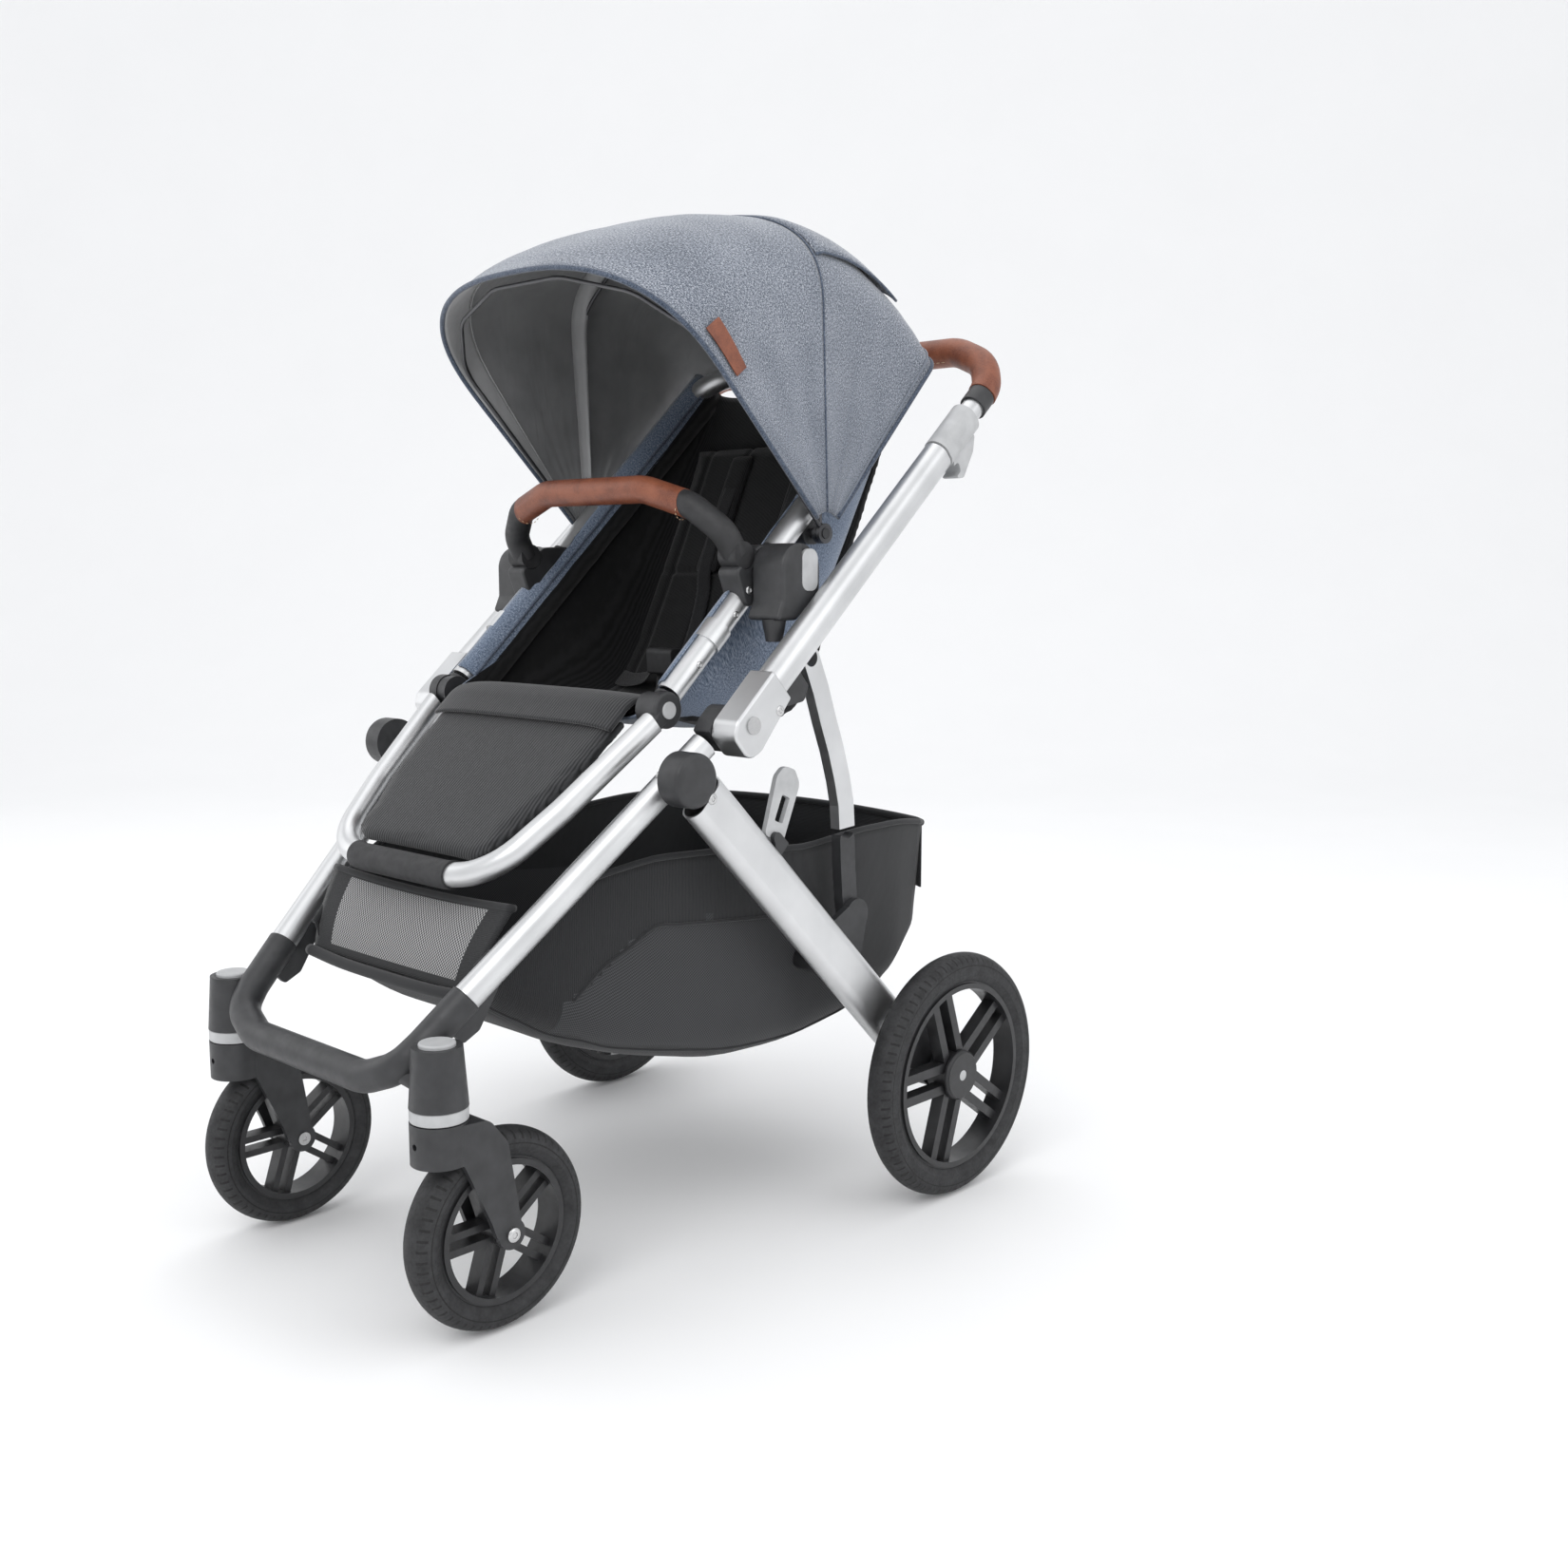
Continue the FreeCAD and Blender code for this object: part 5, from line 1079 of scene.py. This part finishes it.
rows, uvs, meta = [], [], []
NB = 88
for i in range(66):
    y = -300 + 652 * i / 65
    ht, hb, zt, zb = st(y, 1), st(y, 2), st(y, 3), st(y, 4)
    r = min(52.0, (zt - zb) * 0.6)
    half = [(ht, zt), (ht + (hb - ht) * 0.25, zt - (zt - zb - r) * 0.25), (ht + (hb - ht) * 0.5, zt - (zt - zb - r) * 0.5),
            (ht + (hb - ht) * 0.75, zt - (zt - zb - r) * 0.75)]
    for k in range(9):
        a = math.pi / 2 * (1 - k / 8)
        half.append((hb - r + r * math.sin(a), zb + r - r * math.cos(a)))
    half += [((hb - r) * (1 - q / 6), zb) for q in range(1, 7)]
    full = half + [(-x, z) for x, z in half[-2::-1]]
    P = np.array(full)
    Ls = np.concatenate([[0], np.cumsum(np.hypot(*np.diff(P, axis=0).T))])
    s = np.linspace(0, Ls[-1], NB + 1)
    xs, zs = np.interp(s, Ls, P[:, 0]), np.interp(s, Ls, P[:, 1])
    row, uv = [], []
    for x, z, q in zip(xs, zs, s):
        f = (zt - z) / (zt - zb)
        sag = -5.0 * math.sin(math.pi * min(1, max(0, (y + 300) / 652))) * max(0, f - 0.6) * (1 - (x / 215) ** 2)
        wr = noise.noise(Vector((x * 0.010, y * 0.014, z * 0.012))) * 3.0 * f + noise.noise(Vector((x * 0.03, y * 0.03, z * 0.03 + 7))) * 1.0 * f
        out = 2.5 * math.sin(math.pi * f) * math.sin(math.pi * i / 65)
        nx = math.copysign(1, x) if abs(x) > hb - r - 1 else 0
        row.append(Vector(((x + nx * (wr - 1.5 + out)) * mm, y * mm, (z + sag + (wr * 0.5 if nx == 0 else 0)) * mm)))
        uv.append((q * mm - Ls[-1] * mm / 2, y * mm))
        meta.append(f)
    rows.append(row)
    uvs.append(uv)
midx = []
nb = NB + 1
for i in range(65):
    for j in range(NB):
        f = 0.25 * (meta[i * nb + j] + meta[i * nb + j + 1] + meta[(i + 1) * nb + j] + meta[(i + 1) * nb + j + 1])
        y = -300 + 652 * (i + 0.5) / 65
        lo = 0.30 + 0.26 * ((y - 10) / 190) ** 4
        hi = 0.93
        side = j < 34 or j >= NB - 34
        midx.append(1 if side and lo < f < hi and -205 < y < 205 else 0)
bk = grid("basket_bag", rows, [M["band"], M["net_side"]], None, uvs, midx)
sm = bk.modifiers.new("s", "SOLIDIFY")
sm.thickness, sm.offset = 0.0018, 0
settle(bk)
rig.ride(bk, "chassis")
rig.replaces(bk, "basket")
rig.slot(bk, "basket_fabric")
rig.squash(bk, "fold", axis=(0, 1, 0), anchor=(0, -0.295, 0), keep=0.12)
AREA_B = sum(p.area for p in bk.data.polygons) / 2
wb = 0.90
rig.sheet(bk, flat=(wb, 0.66), held="hung", area=min(AREA_B, wb * 0.66 * 0.999), rests_on=["lower_tubes", "rear_legs"])


def ride_squash(o_):
    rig.ride(o_, "chassis")
    settle(o_)
    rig.squash(o_, "fold", axis=(0, 1, 0), anchor=(0, -0.295, 0), keep=0.12)
    return o_


# rolled top hems, seam lines and the window's curved binding
for side, sx in (("left", 0), ("right", NB)):
    ride_squash(tubes("basket_hem_" + side, [[r_[sx] + Vector((0, 0, 0.001)) for r_ in rows]], 0.0036, M["band"], None, 10))
    sgn = 1 if side == "left" else -1
    for tag, fun in (("window", lambda y: 0.30 + 0.26 * ((y - 10) / 190) ** 4), ("belt", lambda y: 0.95)):
        line = []
        for i in range(66):
            y = -300 + 652 * i / 65
            if not -205 < y < 208 and tag == "window":
                continue
            target = fun(y)
            best = min(range(44), key=lambda j: abs(meta[i * nb + (j if sx == 0 else NB - j)] - target))
            j = best if sx == 0 else NB - best
            line.append(rows[i][j] + Vector((sgn * 0.0012, 0, 0)))
        ride_squash(tubes("basket_%s_binding_%s" % (tag, side), [smooth_line(line[::3] + [line[-1]], 90)], 0.0019, M["band"], None, 8))

# front and rear walls
rows2, uvs2, mi = [], [], []
for i in range(19):
    f = i / 18
    y = -303 + 41 * f - 5 * math.sin(math.pi * f)
    z = 325 + 84 * f
    hw = 148 + 16 * f
    row, uv = [], []
    for j in range(37):
        q = j / 36 * 2 - 1
        row.append(Vector((hw * q * mm, (y - 3 * (1 - q * q) * math.sin(math.pi * f)) * mm, (z - 5 * f * (1 - q * q)) * mm)))
        uv.append((hw * q * mm, 0.095 * f))
    rows2.append(row)
    uvs2.append(uv)
for i in range(18):
    for j in range(36):
        q = (j + 0.5) / 36 * 2 - 1
        f = (i + 0.5) / 18
        mi.append(1 if abs(q) < 0.80 and 0.13 < f < 0.93 else 0)
fp = grid("basket_front_wall", rows2, [M["band"], M["net_front"]], None, uvs2, mi)
sm = fp.modifiers.new("s", "SOLIDIFY")
sm.thickness, sm.offset = 0.002, 0
ride_squash(fp)
ride_squash(tubes("basket_front_hem", [rows2[-1]], 0.0042, M["band"], None, 10))
ride_squash(tubes("basket_front_strap", [smooth_line([(-0.152, -0.3065, 0.323), (-0.08, -0.311, 0.3205), (0, -0.312, 0.320), (0.08, -0.311, 0.3205), (0.152, -0.3065, 0.323)], 40)],
                  0.0062, M["band"], None, 12))
rows3, uvs3 = [], []
last = rows[-1]
for i in range(15):
    f = i / 14
    row, uv = [], []
    for j in range(NB + 1):
        e = last[j]
        x = e.x * (1 - f)
        zt_, zb_ = 0.430, 0.262
        z = e.z + ((0.345) - e.z) * f
        lean = max(0.0, (z - 0.262) / 0.17)
        row.append(Vector((x, 0.352 + 0.020 * lean * math.sin(math.pi / 2 * min(1, f * 3)), z)))
        uv.append((x, z))
    rows3.append(row)
    uvs3.append(uv)
rp = grid("basket_rear_wall", rows3, [M["band"]], None, uvs3)
sm = rp.modifiers.new("s", "SOLIDIFY")
sm.thickness, sm.offset = 0.0022, 0
ride_squash(rp)
a_, b_ = last[0], last[-1]
top = [Vector((a_.x * (1 - i / 24) + b_.x * i / 24, 0.352 + 0.020 * math.sin(math.pi * i / 24) ** 0.4, 0.428 + 0.004 * math.sin(math.pi * i / 24))) for i in range(25)]
rows4 = [top, [Vector((p.x, 0.352 + (p.y - 0.352) * 0.9, 0.345 + (p.z - 0.345) * 0.5)) for p in top], [Vector((p.x, p.y, 0.345)) for p in top]]
rw = grid("basket_rear_top", rows4, [M["band"]], None, [[(p.x, p.z) for p in r_] for r_ in rows4])
sm = rw.modifiers.new("s", "SOLIDIFY")
sm.thickness, sm.offset = 0.0022, 0
ride_squash(rw)
ride_squash(tubes("basket_rear_hem", [top], 0.0046, M["band"], None, 10))

# ------------------------------------------------------------------ hard details
for side, sx in (("left", 1), ("right", -1)):
    # rear hub: black ring, plain grey disc; front wheel screw
    turned("rear_hub_ring_" + side, [([(0, 0.030), (0.0035, 0.0298), (0.006, 0.0275), (0.0062, 0.0235), (0.004, 0.0225)], (sx * 0.3195, 0.27175, 0.146), (sx, 0, 0))],
           M["rim"], "rear_wheel_" + side, 56)
    turned("rear_hub_disc_" + side, [([(0, 0.0222), (0.0042, 0.0222), (0.0058, 0.0205), (0.0064, 0.012), (0.0065, 0.0004)], (sx * 0.3195, 0.27175, 0.146), (sx, 0, 0))],
           M["grey"], "rear_wheel_" + side, 56)
    turned("fork_screws_" + side, [(screw_prof(0.0075, 0.0032), (sx * 0.2235, -0.31625, 0.1015), (sx, 0, 0))], M["steel"], "caster_" + side, 28)

# screws and rivets on the frame and seat
CU, SU = math.cos(math.radians(41.7)), math.sin(math.radians(41.7))


def fr(x, s_, o=0.0):
    return Vector((x, (-327.8 + CU * s_ - SU * o) * mm, (332.0 + SU * s_ + CU * o) * mm))


up_items, seat_items, rear_items, rest_items = [], [], [], []
for sx in (1, -1):
    up_items.append((screw_prof(0.0058, 0.0022), (sx * 0.2858, -0.004, 0.598), (sx, 0, 0)))
    seat_items += [(screw_prof(0.0042, 0.0020), seat_pt(sx * 0.1985, -72), (sx, 0, 0)), (screw_prof(0.0042, 0.0020), seat_pt(sx * 0.1985, -148), (sx, 0, 0)),
                   (screw_prof(0.0048, 0.0022), (sx * 0.2035, 0.034, 0.722), (sx, 0, 0))]
    rear_items.append((screw_prof(0.0062, 0.0026), (sx * 0.2800, -0.098, 0.514), (sx, 0, 0)))
    rest_items.append((screw_prof(0.0045, 0.0022), (sx * 0.2000, -0.1165, 0.5725), (sx * 0.9, -0.3, 0.3)))
turned("frame_screws_upper", up_items, M["steel"], "upper_frame", 24)
turned("seat_screws", seat_items, M["steel"], "seat", 24)
turned("frame_screws_rear", rear_items, M["steel"], "rear_frame", 24)

# leather stitching on the bumper bar's ends and under the handle


def stitches(name, line, body, length=0.0042, gap=0.0034, r=0.00055):
    P = [Vector(p) for p in line]
    cum = [0.0]
    for a, b in zip(P[:-1], P[1:]):
        cum.append(cum[-1] + (b - a).length)
    V_, F_ = [], []

    def at(s):
        i = max(0, min(len(P) - 2, int(np.searchsorted(cum, s)) - 1))
        f = (s - cum[i]) / max(1e-9, cum[i + 1] - cum[i])
        return P[i].lerp(P[i + 1], f)
    s = 0.0
    while s + length < cum[-1]:
        pts = [at(s), at(s + length * 0.5), at(s + length)]
        v, f = tube_data(pts, [r * 0.6, r, r * 0.6], 6)
        F_ += [tuple(i + len(V_) for i in q) for q in f]
        V_ += v
        s += length + gap
    return obj(name, V_, F_, M["thread"], body)


lo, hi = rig.box("bumper_grip")
for side, sx in (("left", 1), ("right", -1)):
    me = N["bumper_grip"].data
    xs_ = [v.co.x for v in me.vertices]
    e = 0.1395
    # ring of thread round the leather's end, on its surface
    c0 = Vector((sx * 0.1395, 0.0313 - 0.5 * 0.0632, 0.760 + 0.866 * 0.0632))
    d0 = Vector((0.1500 - 0.086, -0.5 * (0.062 - 0.084) * 1, 0.866 * (0.062 - 0.084))).normalized()
    d0 = Vector((d0.x * sx, d0.y, d0.z))
    # centre of the bar at that x, from the CAD ring of vertices
    near = [v.co for v in me.vertices if abs(v.co.x - sx * 0.143) < 0.0006]
    if near:
        c1 = sum(near, Vector()) / len(near)
        c0 = c1 - d0 * 0.004
    a = Vector((0, 0, 1))
    u = (a - d0 * a.dot(d0)).normalized()
    w = d0.cross(u)
    ring = [c0 + (u * math.cos(t * math.pi / 18) + w * math.sin(t * math.pi / 18)) * 0.01565 for t in range(37)]
    stitches("bumper_stitch_" + side, ring, "bumper", 0.0030, 0.0026)
hp = [(268, 929.3, 0), (268, 944, 2), (252, 975, 12), (206, 993.5, 21.4)]
line = [fr(-0.200 + 0.4 * i / 60, 993.5, 21.4) + Vector((0, -CU * 0.0, 0)) + Vector((0, -SU * -0.0176 * -1 * 0 - 0.0125, -0.0125)) for i in range(61)]
stitches("handle_stitch", line, "handlebar", 0.0050, 0.0028)

# leather tag sewn by the rim, left blank
TAG_T, TAG_PHI = 0.783, 130.3
rows, uvs = [], []
for i in range(9):
    phi = TAG_PHI - 2.6 + 4.6 * i / 8
    xs, rs, ss = can_row(phi, 400)
    row = []
    for j in range(17):
        q = (1 - TAG_T) * 400 + (j / 16 - 0.5) * 24
        k = int(q)
        x = xs[k] + (xs[k + 1] - xs[k]) * (q - k)
        r = rs[k] + (rs[k + 1] - rs[k]) * (q - k)
        row.append(can_pos(x * 1.004 + math.copysign(0.0012, x), r + 0.0016, phi))
    rows.append(row)
tag = grid("canopy_leather_tag", rows, [M["leather"]], "canopy_front")
sm = tag.modifiers.new("s", "SOLIDIFY")
sm.thickness, sm.offset = 0.0018, 0
bv = tag.modifiers.new("b", "BEVEL")
bv.width, bv.segments = 0.0005, 2

# ------------------------------------------------------------------ floor, light, camera
view = Vector((-math.sin(math.radians(43.253)), math.cos(math.radians(43.253)), 0))
right = Vector((view.y, -view.x, 0))
sweep = [(-9.0, 0.0), (2.0, 0.0), (3.4, 0.0)] + [(3.4 + 2.2 * math.sin(math.radians(a_)), 2.2 - 2.2 * math.cos(math.radians(a_))) for a_ in range(6, 91, 6)] + [(5.6, 9.0)]
rows = [[view * d_ + right * x_ + Vector((0, 0, h_)) for x_ in (-16, -8, 0, 8, 16)] for d_, h_ in sweep]
floor = grid("floor", rows, [])
m, nt, b = new_mat("pale_floor")
link(nt, ramp(nt, nz(nt, coords(nt, "Object", (1, 1, 1)), 3, 3), [(0.3, g(0.935)), (0.7, g(0.945))]), b, "Base Color")
b.inputs["Roughness"].default_value = 0.75
b.inputs["Specular IOR Level"].default_value = 0.2
floor.data.materials.append(m)
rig.stage(floor)
w = bpy.data.worlds.new("studio")
bpy.context.scene.world = w
w.use_nodes = True
w.node_tree.nodes["Background"].inputs[0].default_value = (0.95, 0.96, 0.98, 1)
w.node_tree.nodes["Background"].inputs[1].default_value = 0.95


def area(name, loc, target, size, power):
    l_ = bpy.data.lights.new(name, "AREA")
    l_.shape, l_.size, l_.size_y, l_.energy = "RECTANGLE", size[0], size[1], power
    o_ = bpy.data.objects.new(name, l_)
    COL.objects.link(o_)
    o_.location = loc
    o_.rotation_euler = (Vector(target) - Vector(loc)).to_track_quat("-Z", "Y").to_euler()


area("key", (1.2, -2.6, 3.0), (0, 0, 0.5), (2.2, 2.2), 38)
area("fill", (3.0, 0.6, 1.8), (0, 0, 0.6), (2.0, 2.4), 14)
area("top", (-0.6, 0.6, 3.4), (0, 0, 0.6), (3.0, 3.0), 22)
area("side", (-2.8, -1.4, 1.6), (0, 0, 0.6), (1.6, 2.4), 10)

cam = bpy.data.cameras.new("cam")
cam.sensor_width = 36
cam.lens = 36.85
co = bpy.data.objects.new("cam", cam)
COL.objects.link(co)
co.location = (1.4386, -1.2227, 0.7481)
co.rotation_euler = (math.radians(82.273), 0, math.radians(43.253))
bpy.context.scene.camera = co
bpy.context.scene.view_settings.view_transform = "Standard"

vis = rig.bounds()
json.dump({"cad": [list(map(float, c)) for c in cad_box], "visual": [list(map(float, c)) for c in vis]}, open("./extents.json", "w"))
